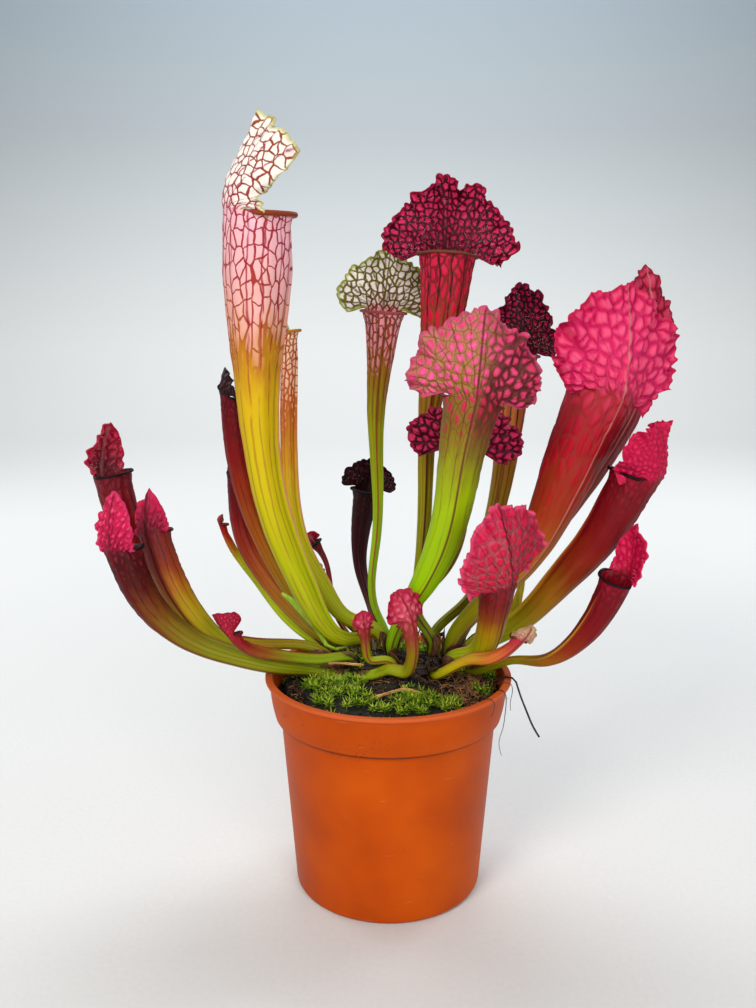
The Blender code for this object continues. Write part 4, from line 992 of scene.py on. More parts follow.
# The tissue bulges between its veins: this moves each point of a leaf out along its push.
puckering = bpy.data.node_groups.new("puckering", "GeometryNodeTree")
puckering.interface.new_socket("Geometry", in_out="INPUT", socket_type="NodeSocketGeometry")
puckering.interface.new_socket("Geometry", in_out="OUTPUT", socket_type="NodeSocketGeometry")
group_in = add(puckering, "NodeGroupInput")
read_net, read_span, read_push = (add(puckering, "GeometryNodeInputNamedAttribute", {"Name": fact},
                                      data_type="FLOAT_VECTOR") for fact in ("net", "span", "push"))
bulge_distance = from_nearest_vein(puckering, read_net, read_span, CELL_ROUND)[0]
dome = add(puckering, "MapRange", (bulge_distance, *BULGE_RISES), interpolation_type="SMOOTHSTEP")
rise = add(puckering, "VectorMath", {0: read_push, "Scale": dome}, operation="SCALE")
in_metres = add(puckering, "VectorMath", {0: rise, "Scale": METRES}, operation="SCALE")
moved = add(puckering, "GeometryNodeSetPosition", {"Geometry": group_in, "Offset": in_metres})
add(puckering, "NodeGroupOutput", {"Geometry": moved})


@dataclass
class Look:
    """Colours of a leaf. ground and cell run from the foot (0) over the mouth (0.5) to the margin (1).

    ground: the tissue and the net's veins. cell: the panes between the veins. panes: where up the
    leaf they start to show and where they are full size. main: veins that run lengthwise. keel: the
    line up the back. crest: the wing's edge. vein and soft: half width of a vein and of its blurred
    edge in mm. shade: how much darker one half of the hood is, with the side as its sign. fringe and
    lines: strength of the margin's colour and of the main veins. rounding: a cell's reach from its
    middle, in cells, so a small one makes round spots. pale: how much paler a pane's middle is.
    rib and spine: half width in mm of the main veins and of the keel. thread: strength of a thin
    line between cells whose panes don't reach it.
    """

    ground: tuple
    cell: tuple
    panes: tuple
    main: str
    margin: str
    lip: str
    keel: str
    crest: str
    vein: float = 0.3
    soft: float = 0.3
    shade: float = 0.0
    fringe: float = 0.8
    lines: float = 0.7
    rounding: float = 0.86
    pale: float = 0.22
    rib: float = 0.26
    spine: float = 0.45
    thread: float = 0.0


LOOKS = {
    "white_net": Look(
        ground=((0.0, "#A4BA12"), (0.14, "#C8CE10"), (0.25, "#E2D218"), (0.325, "#E8C61C"),
                (0.355, "#D8A028"), (0.385, "#C87A3C"), (0.42, "#BC5448"), (0.46, "#B4404A"),
                (0.56, "#AE2846"), (1.0, "#A86038")),
        cell=((0.335, "#E6A840"), (0.365, "#ECB070"), (0.39, "#F4BEA4"), (0.42, "#F9C8C4"), (0.5, "#FCCCD6"),
              (0.57, "#FFF2EC"), (0.66, "#FFFCF4")),
        panes=(0.31, 0.395), main="#AE1C3C", margin="#D2D488", lip="#A4502E", keel="#B01A40",
        crest="#E2A088",
        vein=0.2, lines=0.85, pale=0.3, rib=0.4, fringe=0.7,
    ),
    "cream_tube": Look(
        ground=((0.0, "#A4BA12"), (0.2, "#C8C812"), (0.3, "#DCB424"), (0.38, "#D08030"), (0.45, "#C4603E"),
                (0.5, "#C27040"), (1.0, "#C0A060")),
        cell=((0.28, "#E8A040"), (0.36, "#F0B67C"), (0.43, "#F8D0AC"), (0.5, "#FCEACC"), (1.0, "#FFF8E8")),
        panes=(0.28, 0.42), main="#B8483C", margin="#D2D488", lip="#C8963C", keel="#B85A3A", crest="#E2A088",
        vein=0.2, lines=0.75, pale=0.2,
    ),
    "cream_net": Look(
        ground=((0.0, "#9CC40E"), (0.2, "#B0D00E"), (0.32, "#C0C41A"), (0.4, "#C09028"), (0.46, "#B45C38"),
                (0.52, "#96483C"), (0.6, "#7A6420"), (1.0, "#8A8C1E")),
        cell=((0.3, "#F29A92"), (0.42, "#FBA4AC"), (0.5, "#FFB8C0"), (0.57, "#FFF0E4"), (0.7, "#FFFFF6"),
              (1.0, "#FFFFF6")),
        panes=(0.31, 0.43), main="#80501C", margin="#B6BC38", lip="#BE6464", keel="#7A641E", crest="#B86A3C",
        vein=0.34, pale=0.3, rib=0.5, lines=0.85,
    ),
    "crimson_net": Look(
        ground=((0.0, "#96A41A"), (0.2, "#B4AE1C"), (0.3, "#B48C24"), (0.4, "#AE5C30"), (0.48, "#9C2E3A"),
                (0.54, "#6A0A2A"), (1.0, "#5A0824")),
        cell=((0.28, "#D8504A"), (0.4, "#E0244C"), (0.5, "#E62058"), (0.57, "#A8084A"), (0.75, "#CC105E"),
              (1.0, "#E83478")),
        panes=(0.28, 0.42), main="#4C0A1C", margin="#B42050", lip="#8A5238", keel="#3A0618", crest="#7A3A2A",
        vein=0.36, soft=0.45, lines=0.9, rib=0.5, pale=0.08,
    ),
    "pink_on_olive": Look(
        ground=((0.0, "#9CC80C"), (0.18, "#B8E00E"), (0.34, "#BED81A"), (0.41, "#ACA828"), (0.47, "#9C7A30"),
                (0.55, "#AE8C46"), (0.7, "#BE945A"), (1.0, "#CE8C7A")),
        cell=((0.34, "#BC1A3C"), (0.46, "#D01E4C"), (0.54, "#E03C74"), (0.62, "#F05C98"), (0.8, "#F46AA4"),
              (1.0, "#EC3E86")),
        panes=(0.36, 0.5), main="#6E1830", margin="#D8608A", lip="#8A4A30", keel="#7A2A34", crest="#DE9A92",
        vein=0.26, soft=0.8, shade=-0.85, lines=0.5, rounding=0.58, pale=0.12, thread=0.5,
    ),
    "dark_net": Look(
        ground=((0.0, "#A8B020"), (0.2, "#B8B024"), (0.32, "#CC9630"), (0.42, "#CC7A4C"), (0.49, "#7A1C34"),
                (0.56, "#380618"), (1.0, "#3A0618")),
        cell=((0.34, "#E08468"), (0.46, "#D05A6A"), (0.54, "#900838"), (0.8, "#A80C4C"), (1.0, "#C02062")),
        panes=(0.34, 0.48), main="#26040F", margin="#8A2048", lip="#B06A5C", keel="#26040F", crest="#A86A3A",
        vein=0.44, lines=0.9, rib=0.42, pale=0.0,
    ),
    "hot_pink": Look(
        ground=((0.0, "#A0AC1A"), (0.15, "#B8A01C"), (0.24, "#C0741E"), (0.31, "#B64A22"), (0.4, "#B23430"),
                (0.5, "#B43C42"), (0.56, "#D8487A"), (0.75, "#DC387A"), (1.0, "#C81A60")),
        cell=((0.24, "#C02A22"), (0.34, "#CC0C2A"), (0.46, "#C40A36"), (0.54, "#DA1658"), (0.6, "#F01C6E"),
              (0.8, "#F0267A"), (1.0, "#E8186C")),
        panes=(0.24, 0.4), main="#5A1420", margin="#D41C60", lip="#5E1828", keel="#D8968C", crest="#DCA092",
        vein=0.05, soft=1.3, shade=-0.12, lines=0.3, rounding=0.74, pale=0.16,
    ),
    "deep_red": Look(
        ground=((0.0, "#9A8A1E"), (0.14, "#B0761E"), (0.26, "#A04A20"), (0.36, "#8E1622"), (0.5, "#8A0E2C"),
                (1.0, "#98143C")),
        cell=((0.25, "#AC2A20"), (0.38, "#A80E2C"), (0.5, "#A80E34"), (0.6, "#C41450"), (1.0, "#CE1A58")),
        panes=(0.24, 0.42), main="#3E0A18", margin="#A01440", lip="#3A0A16", keel="#C88A84", crest="#6A1A24",
        vein=0.2, soft=0.7, pale=0.1,
    ),
    "puckered_crimson": Look(
        ground=((0.0, "#A0B016"), (0.14, "#AEA818"), (0.22, "#B8801C"), (0.29, "#A84418"), (0.37, "#96181E"),
                (0.48, "#860A24"), (0.56, "#CA1250"), (1.0, "#CC1654")),
        cell=((0.26, "#BC441E"), (0.36, "#AC1824"), (0.5, "#A0102C"), (0.57, "#E41A60"), (1.0, "#EC246C")),
        panes=(0.3, 0.5), main="#5A0A1C", margin="#DC2A66", lip="#26060E", keel="#A01236", crest="#C89A3A",
        vein=0.08, soft=1.1, lines=0.35, pale=0.06,
    ),
    "mottled_crimson": Look(
        ground=((0.0, "#9AAA16"), (0.26, "#9C9A18"), (0.34, "#9A7A1A"), (0.39, "#88481A"), (0.43, "#6A1E14"),
                (0.48, "#5C0E16"), (0.55, "#B0164A"), (0.75, "#D02460"), (1.0, "#D82664")),
        cell=((0.3, "#A85A1C"), (0.4, "#94201C"), (0.5, "#8A1024"), (0.57, "#E0225E"), (0.75, "#F43C7A"),
              (1.0, "#FA4C86")),
        panes=(0.3, 0.48), main="#4A0A18", margin="#E0447A", lip="#26060E", keel="#8A1030", crest="#A87A3A",
        vein=0.2, soft=1.0, lines=0.6, rounding=0.54, pale=0.14,
    ),
    "pink_on_salmon": Look(
        ground=((0.0, "#A8BE16"), (0.22, "#C4C418"), (0.31, "#C8A01E"), (0.38, "#AE602A"), (0.44, "#9C3C30"),
                (0.51, "#96363A"), (0.58, "#C65C62"), (0.85, "#CE6672"), (1.0, "#DC3A6C")),
        cell=((0.3, "#B02430"), (0.42, "#A80E32"), (0.54, "#B40C40"), (0.62, "#D80A4C"), (1.0, "#E01058")),
        panes=(0.32, 0.48), main="#5A1020", margin="#EE6890", lip="#8A3A2C", keel="#5A0E1E", crest="#DCA088",
        vein=0.28, soft=0.8, shade=-0.3, lines=0.5, rounding=0.6, pale=0.05, thread=0.3,
    ),
    "brown_pink": Look(
        ground=((0.0, "#A8BE16"), (0.24, "#B4B818"), (0.33, "#C4A81C"), (0.385, "#C07A26"),
                (0.43, "#AC5030"), (0.48, "#9A423C"), (0.53, "#94424A"), (0.6, "#A04450"),
                (0.85, "#B83058"), (1.0, "#D42C64")),
        cell=((0.36, "#B04A38"), (0.44, "#A01C38"), (0.54, "#A81840"), (0.7, "#C41850"), (1.0, "#E4225E")),
        panes=(0.36, 0.5), main="#5A1A20", margin="#D83068", lip="#6A2228", keel="#6A1A2A", crest="#DCA088",
        vein=0.3, soft=0.9, lines=0.6, rounding=0.52, pale=0.05, spine=0.8,
    ),
    "withered": Look(
        ground=((0.0, "#B8C81C"), (0.16, "#DCD01E"), (0.28, "#E8B43A"), (0.4, "#E8844E"), (0.5, "#D2405A"),
                (0.6, "#D09282"), (1.0, "#E0BC98")),
        cell=((0.3, "#E88A5E"), (0.5, "#E03458"), (0.6, "#E4B09C"), (1.0, "#EED4B6")),
        panes=(0.34, 0.5), main="#9A4A2A", margin="#C0A078", lip="#6A3A2A", keel="#8A4A34", crest="#C8604A",
        lines=0.35,
    ),
    "small_pink": Look(
        ground=((0.0, "#A6C41A"), (0.26, "#B0B81C"), (0.37, "#B09426"), (0.44, "#A8583A"), (0.5, "#B04048"),
                (0.6, "#E0607A"), (0.8, "#D84868"), (1.0, "#C42250")),
        cell=((0.34, "#BC7E3C"), (0.44, "#C85A50"), (0.54, "#EA7888"), (0.7, "#F28A98"), (1.0, "#D43860")),
        panes=(0.34, 0.48), main="#B02044", margin="#C01C4C", lip="#B04A44", keel="#A82A44", crest="#B08A2A",
        vein=0.06, soft=1.2, lines=0.3, shade=-0.3, pale=0.1,
    ),
    "maroon": Look(
        ground=((0.0, "#A0A81C"), (0.12, "#B4961E"), (0.22, "#B4681E"), (0.31, "#A43818"), (0.4, "#941622"),
                (0.5, "#840E26"), (0.56, "#6E0C24"), (1.0, "#A01438")),
        cell=((0.24, "#B04420"), (0.38, "#9A1824"), (0.5, "#860F27"), (0.6, "#8A1230"), (0.75, "#C01848"),
              (1.0, "#DA2A5E")),
        panes=(0.26, 0.48), main="#4A0A18", margin="#C01C48", lip="#22060E", keel="#A8706E", crest="#8A3A22",
        vein=0.14, soft=0.8, lines=0.5, pale=0.1, spine=1.0,
    ),
    "dark_curl": Look(
        ground=((0.0, "#A4A81C"), (0.14, "#B8981E"), (0.25, "#C0741E"), (0.33, "#B44A1A"), (0.4, "#9C1C1E"),
                (0.48, "#7A0C22"), (0.53, "#2A0610"), (1.0, "#240510")),
        cell=((0.24, "#B84A1E"), (0.4, "#A81A26"), (0.5, "#8A0E28"), (0.55, "#3C0818"), (1.0, "#60102A")),
        panes=(0.3, 0.5), main="#4A0A18", margin="#30060F", lip="#14040A", keel="#2A0610", crest="#8A3A22",
        vein=0.14, soft=0.8, pale=0.05,
    ),
    "green_hook": Look(
        ground=((0.0, "#B4CC1C"), (0.38, "#C4CC20"), (0.43, "#C07A1E"), (0.47, "#B82A1E"), (1.0, "#C01C2C")),
        cell=((0.36, "#C0943A"), (0.5, "#C0281E"), (1.0, "#C83A3A")),
        panes=(0.42, 0.5), main="#8A3418", margin="#9A1C24", lip="#8A1C20", keel="#A8401E", crest="#B0A030",
        vein=0.2, soft=0.5, lines=0.3,
    ),
    "red_bud": Look(
        ground=((0.0, "#9AB81E"), (0.24, "#A4B428"), (0.36, "#B0702C"), (0.46, "#B83038"), (1.0, "#B81E48")),
        cell=((0.3, "#C0503A"), (0.5, "#D22450"), (1.0, "#E83A6E")),
        panes=(0.34, 0.5), main="#7A1428", margin="#B01C40", lip="#7A1428", keel="#7A1428", crest="#A04A30",
        vein=0.2, soft=0.4,
    ),
    "black_maroon": Look(
        ground=((0.0, "#8A7A1E"), (0.16, "#7A3A1E"), (0.3, "#5A1220"), (0.5, "#3A0818"), (1.0, "#2E0612")),
        cell=((0.3, "#5E1226"), (0.5, "#540C24"), (0.6, "#500C24"), (1.0, "#6A1236")),
        panes=(0.34, 0.5), main="#18040A", margin="#480C1E", lip="#120308", keel="#18040A", crest="#3A0A18",
        vein=0.34, pale=0.05,
    ),
}
leaf_materials = {}


def leaf_material(name):
    """Living leaf tissue: smooth waxy skin, light that glows through it, and a net of sunk veins."""
    if name in leaf_materials:
        return leaf_materials[name]
    look = LOOKS[name]
    material, tree, shader = empty_material("pitcher_tissue_" + name)
    net, span, marks, fan = (add(tree, "Attribute", attribute_name=fact).outputs["Vector"]
                             for fact in ("net", "span", "marks", "fan"))
    distance, lengthwise, to_border = from_nearest_vein(tree, net, span, look.rounding)
    rise = add(tree, "SeparateXYZ", (net,)).outputs["Z"]
    height = add(tree, "Math", (rise, 0.5), operation="MULTIPLY")
    mottle = add(tree, "TexNoise", {"Vector": net, "Scale": 0.45, "Detail": 2.0})
    swayed = add(tree, "Math", (mottle, MOTTLE_SWAY, -MOTTLE_SWAY / 2), operation="MULTIPLY_ADD")
    up_leaf = add(tree, "Math", (height, swayed), operation="ADD")
    ground = add(tree, "ValToRGB", (up_leaf,), look.ground)
    cell = add(tree, "ValToRGB", (up_leaf,), look.cell)

    # The panes between the veins are shut at the foot and open higher up. One half of the hood may
    # be darker, and on the hood the middles of the panes are paler.
    closing = add(tree, "MapRange", (up_leaf, *look.panes, PANE_SHUT, 0.0))
    thicker = add(tree, "Math", (lengthwise, 0.5 * look.vein, 0.75 * look.vein), operation="MULTIPLY_ADD")
    half_width = add(tree, "Math", (thicker, closing), operation="ADD")
    soft_edge = add(tree, "Math", (half_width, look.soft), operation="ADD")
    whole_pane = add(tree, "MapRange", (distance, half_width, soft_edge), interpolation_type="SMOOTHSTEP")
    clear = add(tree, "MapRange", (up_leaf, *look.panes))
    pane = add(tree, "Math", (whole_pane, clear), operation="MULTIPLY")
    mark_parts = add(tree, "SeparateXYZ", (marks,))
    toward = add(tree, "Math", (mark_parts.outputs["Z"], math.copysign(1.0, look.shade)),
                 operation="MULTIPLY")
    shaded = add(tree, "MapRange", (toward, -0.02, 0.22, 0.0, abs(look.shade)))
    high_up = add(tree, "MapRange", (rise, 0.7, 1.0))
    shade = add(tree, "Math", (shaded, high_up), operation="MULTIPLY")
    thread = add(tree, "MapRange", (to_border, 0.05, 0.4, look.thread, 0.0))
    clear_thread = add(tree, "Math", (thread, clear), operation="MULTIPLY")
    netted = add(tree, "MixRGB", (clear_thread, ground, linear(look.main)))
    dark_ground = add(tree, "MixRGB", (shade, netted, linear(look.main)))
    deep_cell = add(tree, "MixRGB", (shade, cell, linear("#E890B4")), blend_type="MULTIPLY")
    far_in = add(tree, "Math", (half_width, PALE_FROM_VEIN), operation="ADD")
    pale = add(tree, "MapRange", (distance, half_width, far_in, 0.0, look.pale))
    on_hood = add(tree, "MapRange", (rise, 0.85, 1.1))
    paler = add(tree, "Math", (pale, on_hood), operation="MULTIPLY")
    pale_cell = add(tree, "MixRGB", (paler, deep_cell, linear("#FFE2EC")))
    tissue = add(tree, "MixRGB", (pane, dark_ground, pale_cell))

    # Main veins run the length of the tube and fan out over the hood, and one keel runs up the back.
    fan_parts = add(tree, "SeparateXYZ", (fan,))
    bent = add(tree, "Math", (mottle, 0.7, fan_parts.outputs["X"]), operation="MULTIPLY_ADD")
    to_line = add(tree, "Math", (bent, 0.5), operation="PINGPONG")
    line_distance = add(tree, "Math", (to_line, fan_parts.outputs["Y"]), operation="MULTIPLY")
    line = add(tree, "MapRange", (line_distance, 0.4 * look.rib, 1.6 * look.rib, look.lines, 0.0))
    broken = add(tree, "TexNoise", {"Vector": fan, "Scale": 1.7, "Detail": 1.0})
    kept = add(tree, "MapRange", (broken, 0.32, 0.5))
    room = add(tree, "MapRange", (fan_parts.outputs["Y"], 2.0 * look.rib, 5.0 * look.rib, 0.15, 1.0))
    some = add(tree, "Math", (kept, room), operation="MULTIPLY")
    faint_low = add(tree, "MapRange", (up_leaf, 0.3, 0.42, 0.5, 1.0))
    visible = add(tree, "Math", (some, faint_low), operation="MULTIPLY")
    line_share = add(tree, "Math", (line, visible), operation="MULTIPLY")
    from_middle = add(tree, "Math", (fan_parts.outputs["X"],), operation="ABSOLUTE")
    from_keel = add(tree, "Math", (from_middle, fan_parts.outputs["Y"]), operation="MULTIPLY")
    keel = add(tree, "MapRange", (from_keel, 0.4 * look.spine, 1.6 * look.spine, 0.85, 0.0))

    # Over the tissue lie the main veins, the keel, the margin, the wing's edge and the nectar lip.
    margin_distance = add(tree, "SeparateXYZ", (span,)).outputs["Z"]
    margin = add(tree, "MapRange", (margin_distance, 0.3, 1.7, look.fringe, 0.0))
    crested = add(tree, "MapRange", (mark_parts.outputs["Y"], 0.5, 0.9))
    for share, colour in ((line_share, look.main), (keel, look.keel), (margin, look.margin),
                          (crested, look.crest), (mark_parts.outputs["X"], look.lip)):
        tissue = add(tree, "MixRGB", (share, tissue, linear(colour)))
    deep = add(tree, "Gamma", (tissue, TISSUE_DEPTH))
    wax = add(tree, "MapRange", (mottle, 0.3, 0.7, 0.4, 0.58))
    pore = add(tree, "TexNoise", {"Vector": net, "Scale": 9.0, "Detail": 2.0})
    sunk = add(tree, "Math", (line_share, -0.6, pane), operation="MULTIPLY_ADD")
    grain = add(tree, "Math", (pore, 0.3, sunk), operation="MULTIPLY_ADD")
    bump = add(tree, "Bump", {"Height": grain, "Strength": 0.6, "Distance": 0.0003})
    feed(shader, {"Base Color": deep, "Roughness": wax, "IOR": LEAF_IOR, "Specular IOR Level": LEAF_GLOSS,
                  "Normal": bump})
    glow = add(tree, "BsdfTranslucent", {"Color": deep, "Normal": bump})
    mixed = add(tree, "MixShader", (TISSUE_GLOW, shader, glow))
    feed(tree.nodes["Material Output"], {"Surface": mixed})
    leaf_materials[name] = material
    return material


hood_sheets = {}
for number, (leaf_name, leaf) in enumerate(LEAVES.items()):
    hood_sheets[leaf_name] = leaf_skin(leaf_name, leaf, np.random.default_rng(number))

# Hairs: short stiff pale hairs grow on the inner face of the showy hoods, most of them in its
# outer half. Each is a thin spike that is set into its own hood.

HAIR_RADIUS = 0.09
HAIR_LENGTHS = (1.0, 2.6)
HAIRY_HOODS = {
    "pitcher_tall_crimson": 360, "pitcher_dark_hood": 220, "pitcher_white_hood": 160,
    "pitcher_tall_white": 260, "pitcher_mid_crimson": 120, "pitcher_great_crimson": 220,
    "pitcher_pink_hood": 160, "pitcher_right_arching": 60, "pitcher_right_open": 20,
    "pitcher_left_open": 60, "pitcher_left_outer": 80, "pitcher_black_hood": 80,
}


def speckled(name, noise, stops, skin, relief=None, stretch=None):
    """A material whose tone and relief follow one noise.

    noise: its inputs. stops: its tones. skin: other inputs of the shader. relief: strength of the
    bump and its depth in m. stretch: inputs of a mapping that draws the noise out.
    """
    material, tree, shader = empty_material(name)
    place = add(tree, "TexCoord").outputs["Object"]
    if stretch:
        place = add(tree, "Mapping", {"Vector": place, **stretch})
    pattern = add(tree, "TexNoise", {"Vector": place, **noise})
    feed(shader, {"Base Color": add(tree, "ValToRGB", (pattern,), stops), **skin})
    if relief:
        strength, depth = relief
        bump = add(tree, "Bump", {"Height": pattern, "Strength": strength, "Distance": depth})
        feed(shader, {"Normal": bump})
    return material


# A hair is a hollow cell of clear cellulose: pale, with a shine, and painted pink for the hood
# seen through it.
clear_hair = speckled("clear_leaf_hair", {"Scale": 160.0}, [(0.3, "#C08A94"), (0.6, "#E4C4CA")],
                      {"Roughness": 0.35, "IOR": 1.45})


def crossways(ways):
    """Two directions square to each given one and to each other."""
    helper = np.where(abs(ways[:, 2:]) < 0.8, [0.0, 0.0, 1.0], [1.0, 0.0, 0.0])
    first = unit(np.cross(ways, helper))
    return first, np.cross(ways, first)


def rings_round(middles, first, second, radius, sides):
    """Points round each middle in the plane of two directions, side by side."""
    angles = [2 * math.pi * k / sides for k in range(sides)]
    return [middles + radius * (first * math.cos(angle) + second * math.sin(angle)) for angle in angles]


def spikes(roots, ways, lengths, radius):
    """Three-sided spikes that stand on these points."""
    corners = rings_round(roots, *crossways(ways), radius, 3) + [roots + ways * lengths[:, None]]
    start = 4 * np.arange(len(roots))[:, None]
    faces = np.concatenate([start + side for side in ((0, 1, 3), (1, 2, 3), (2, 0, 3), (0, 2, 1))])
    return np.stack(corners, axis=1).reshape(-1, 3), faces.tolist()


for number, (leaf_name, hair_count) in enumerate(HAIRY_HOODS.items()):
    draw = np.random.default_rng(500 + number)
    hood, hood_normal = hood_sheets[leaf_name]
    row = ((len(hood) - 1) * draw.uniform(0.12, 1.0, hair_count) ** 0.7).astype(int)
    column = draw.integers(2, hood.shape[1] - 2, hair_count)
    inward = -hood_normal[row, column]
    hair_roots = hood[row, column] + inward * HOOD_THICKNESS * 0.4
    hair_ways = unit(inward + draw.normal(0, 0.45, (hair_count, 3)))
    hair_lengths = draw.uniform(*HAIR_LENGTHS, hair_count)
    made(leaf_name + "_hairs", *spikes(hair_roots, hair_ways, hair_lengths, HAIR_RADIUS), clear_hair,
         LEAVES[leaf_name].finish)

# Peat: black fibrous peat fills the pot up to its band, with loose crumbs and torn rootlets on top.
# It is packed round the crown, and the moss has grown over most of it.

PEAT_GRAIN = 0.9
PEAT_GLOSS = 0.15
CRUMB_COUNT = 2200
CRUMB_SIZES = (0.35, 1.5)
FIBRE_COUNT = 240
FIBRE_LENGTHS = (3, 10)
FIBRE_RADIUS = 0.16
GROUND_RADIUS = 53.0
CAST_FROM = 160.0
MOSS_CUSHIONS = (
    (-26, -8, 15, 26), (-40, 15, 13, 12), (-22, -34, 15, 14), (21, -36, 18, 13), (-4, -45, 5, 6),
    (45, -12, 4, 5), (51, 9, 4, 7), (-38, 27, 14, 14), (-16, 44, 16, 8), (14, 43, 20, 9),
    (38, 30, 11, 13), (7, -24, 4, 3), (-20, 8, 13, 9), (14, 22, 16, 7), (33, 8, 5, 5),
)

# Damp peat moss: almost black, matt, with brown fibre and a faint shine of water in its hollows.
peat, tree, shader = empty_material("damp_black_peat")
place = add(tree, "TexCoord").outputs["Object"]
clods = add(tree, "TexNoise", {"Vector": place, "Scale": 1 / (3 * PEAT_GRAIN * METRES), "Detail": 5.0,
                               "Roughness": 0.7})
tone = add(tree, "ValToRGB", (clods,), [(0.34, "#080605"), (0.54, "#150F0B"), (0.7, "#2C1F17"),
                                        (0.84, "#5A4130")])
wet = add(tree, "MapRange", (clods, 0.3, 0.6, 0.55, 0.95))
lumps = add(tree, "TexVoronoi", {"Vector": place, "Scale": 1 / (PEAT_GRAIN * METRES)})
relief = add(tree, "Math", (lumps.outputs["Distance"], clods), operation="ADD")
bump = add(tree, "Bump", {"Height": relief, "Strength": 0.9, "Distance": 0.0006})
feed(shader, {"Base Color": tone, "Specular IOR Level": PEAT_GLOSS, "Roughness": wet, "Normal": bump})
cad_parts["growing_medium"].data.materials[0] = peat

# Dead brown thread: old rootlets, dry and matt, lighter where they are frayed.
rootlet = speckled("dry_rootlet", {"Scale": 220.0, "Detail": 3.0},
                   [(0.3, "#38200F"), (0.48, "#6E4424"), (0.68, "#B07C48")], {"Roughness": 0.8},
                   (0.5, 0.0002))

solids = [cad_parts[node_name].data for node_name in ("growing_medium", "moss_mat", "rhizome")]
ground_points, ground_faces = joined([
    ([vertex.co[:] for vertex in mesh.vertices], [list(polygon.vertices) for polygon in mesh.polygons])
    for mesh in solids
])
ground = BVHTree.FromPolygons(ground_points.tolist(), ground_faces)


def on_ground(x, y):
    """Height in mm of the peat or moss at a place, or None where there is neither."""
    hit = ground.ray_cast(Vector((x * METRES, y * METRES, CAST_FROM * METRES)), Vector((0.0, 0.0, -1.0)))
    return None if hit[0] is None else hit[0].z / METRES


def moss_depth(x, y):
    """How far inside a moss cushion a place is: over 0 inside, with an uneven edge."""
    ragged = 0.12 * math.sin(0.9 * x + 0.5 * y) + 0.1 * math.sin(1.3 * y - 0.7 * x)
    return ragged + max(1 - math.hypot((x - at_x) / wide, (y - at_y) / deep)
                        for at_x, at_y, wide, deep in MOSS_CUSHIONS)


def strewn(count, draw, on_moss):
    """Random places on the ground, on the moss cushions or between them."""
    places = []
    while len(places) < count:
        x, y = draw.uniform(-GROUND_RADIUS, GROUND_RADIUS, 2)
        level = on_ground(x, y)
        if math.hypot(x, y) < GROUND_RADIUS and level and (moss_depth(x, y) > 0) == on_moss:
            places.append((x, y, level))
    return np.array(places)


def tubes(routes, radius, sides):
    """Thin rods along curved routes, each with a closed end."""
    rods = []
    for route in routes:
        route = np.asarray(route, float)
        first, second = crossways(unit(np.gradient(route, axis=0)))
        taper = np.linspace(1.0, 0.45, len(route))[:, None] * radius
        rings = np.stack(rings_round(route, first, second, taper, sides), axis=1)
        rods.append((rings.reshape(-1, 3), tube_faces(len(route), sides)))
    return joined(rods)


lump = bmesh.new()
bmesh.ops.create_icosphere(lump, subdivisions=1, radius=1.0)
lump_points = np.array([vertex.co[:] for vertex in lump.verts])
lump_faces = np.array([[vertex.index for vertex in face.verts] for face in lump.faces])
lump.free()
draw = np.random.default_rng(71)
crumb_places = strewn(CRUMB_COUNT, draw, False)
crumb_share = draw.uniform(0, 1, CRUMB_COUNT)[:, None, None] ** 3
crumb_sizes = CRUMB_SIZES[0] + (CRUMB_SIZES[1] - CRUMB_SIZES[0]) * crumb_share
crumb_points = lump_points[None] * draw.uniform(0.5, 1.2, (CRUMB_COUNT, len(lump_points), 1))
crumb_points = crumb_points * draw.uniform(0.6, 1.2, (CRUMB_COUNT, 1, 3)) * crumb_sizes
crumb_points = crumb_points + crumb_places[:, None]
crumb_faces = (lump_faces[None] + len(lump_points) * np.arange(CRUMB_COUNT)[:, None, None]).reshape(-1, 3)
made("peat_crumbs", crumb_points.reshape(-1, 3), crumb_faces.tolist(), peat, "peat")

fibre_routes = []
for x, y, level in strewn(FIBRE_COUNT, draw, False):
    heading = draw.uniform(0, 2 * math.pi)
    length = draw.uniform(*FIBRE_LENGTHS)
    route = []
    for share in np.linspace(0, 1, 6):
        heading += draw.normal(0, 0.35)
        at = (x + length * share * math.cos(heading), y + length * share * math.sin(heading))
        under = on_ground(*at)
        route.append((*at, (under or level) + 0.25 + draw.uniform(0, 0.7)))
    fibre_routes.append(route)
made("peat_fibres", *tubes(fibre_routes, FIBRE_RADIUS, 3), rootlet, "root")

# Moss: haircap moss, shoots about 3 mm high that each end in a star of pointed leaves. They grow
# side by side from a mat of their own dead stems, painted dark as the shade between them.

MOSS_SHOOTS = 620
SHOOT_LEAVES = 10
SHOOT_HEIGHTS = (0.8, 4.6)
MOSS_LEAF_LENGTHS = (2.6, 4.4)
MOSS_LEAF_HALF_WIDTH = 0.36
MOSS_LEAF_CLIMBS = ((-4, 24), (28, 54))
MOSS_STEM_RADIUS = 0.3
MOSS_STEM_OVER = 0.9

# Dead moss under the shoots, painted near black as the shade between them: matt dark green and
# brown, in tufts about 2 mm across.
moss_mat = speckled("shaded_moss_stems", {"Scale": 420.0, "Detail": 4.0, "Roughness": 0.7},
                    [(0.34, "#080704"), (0.52, "#151407"), (0.66, "#26300C"), (0.8, "#3F5A14")],
                    {"Roughness": 0.95}, (1.0, 0.0012))
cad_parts["moss_mat"].data.materials[0] = moss_mat
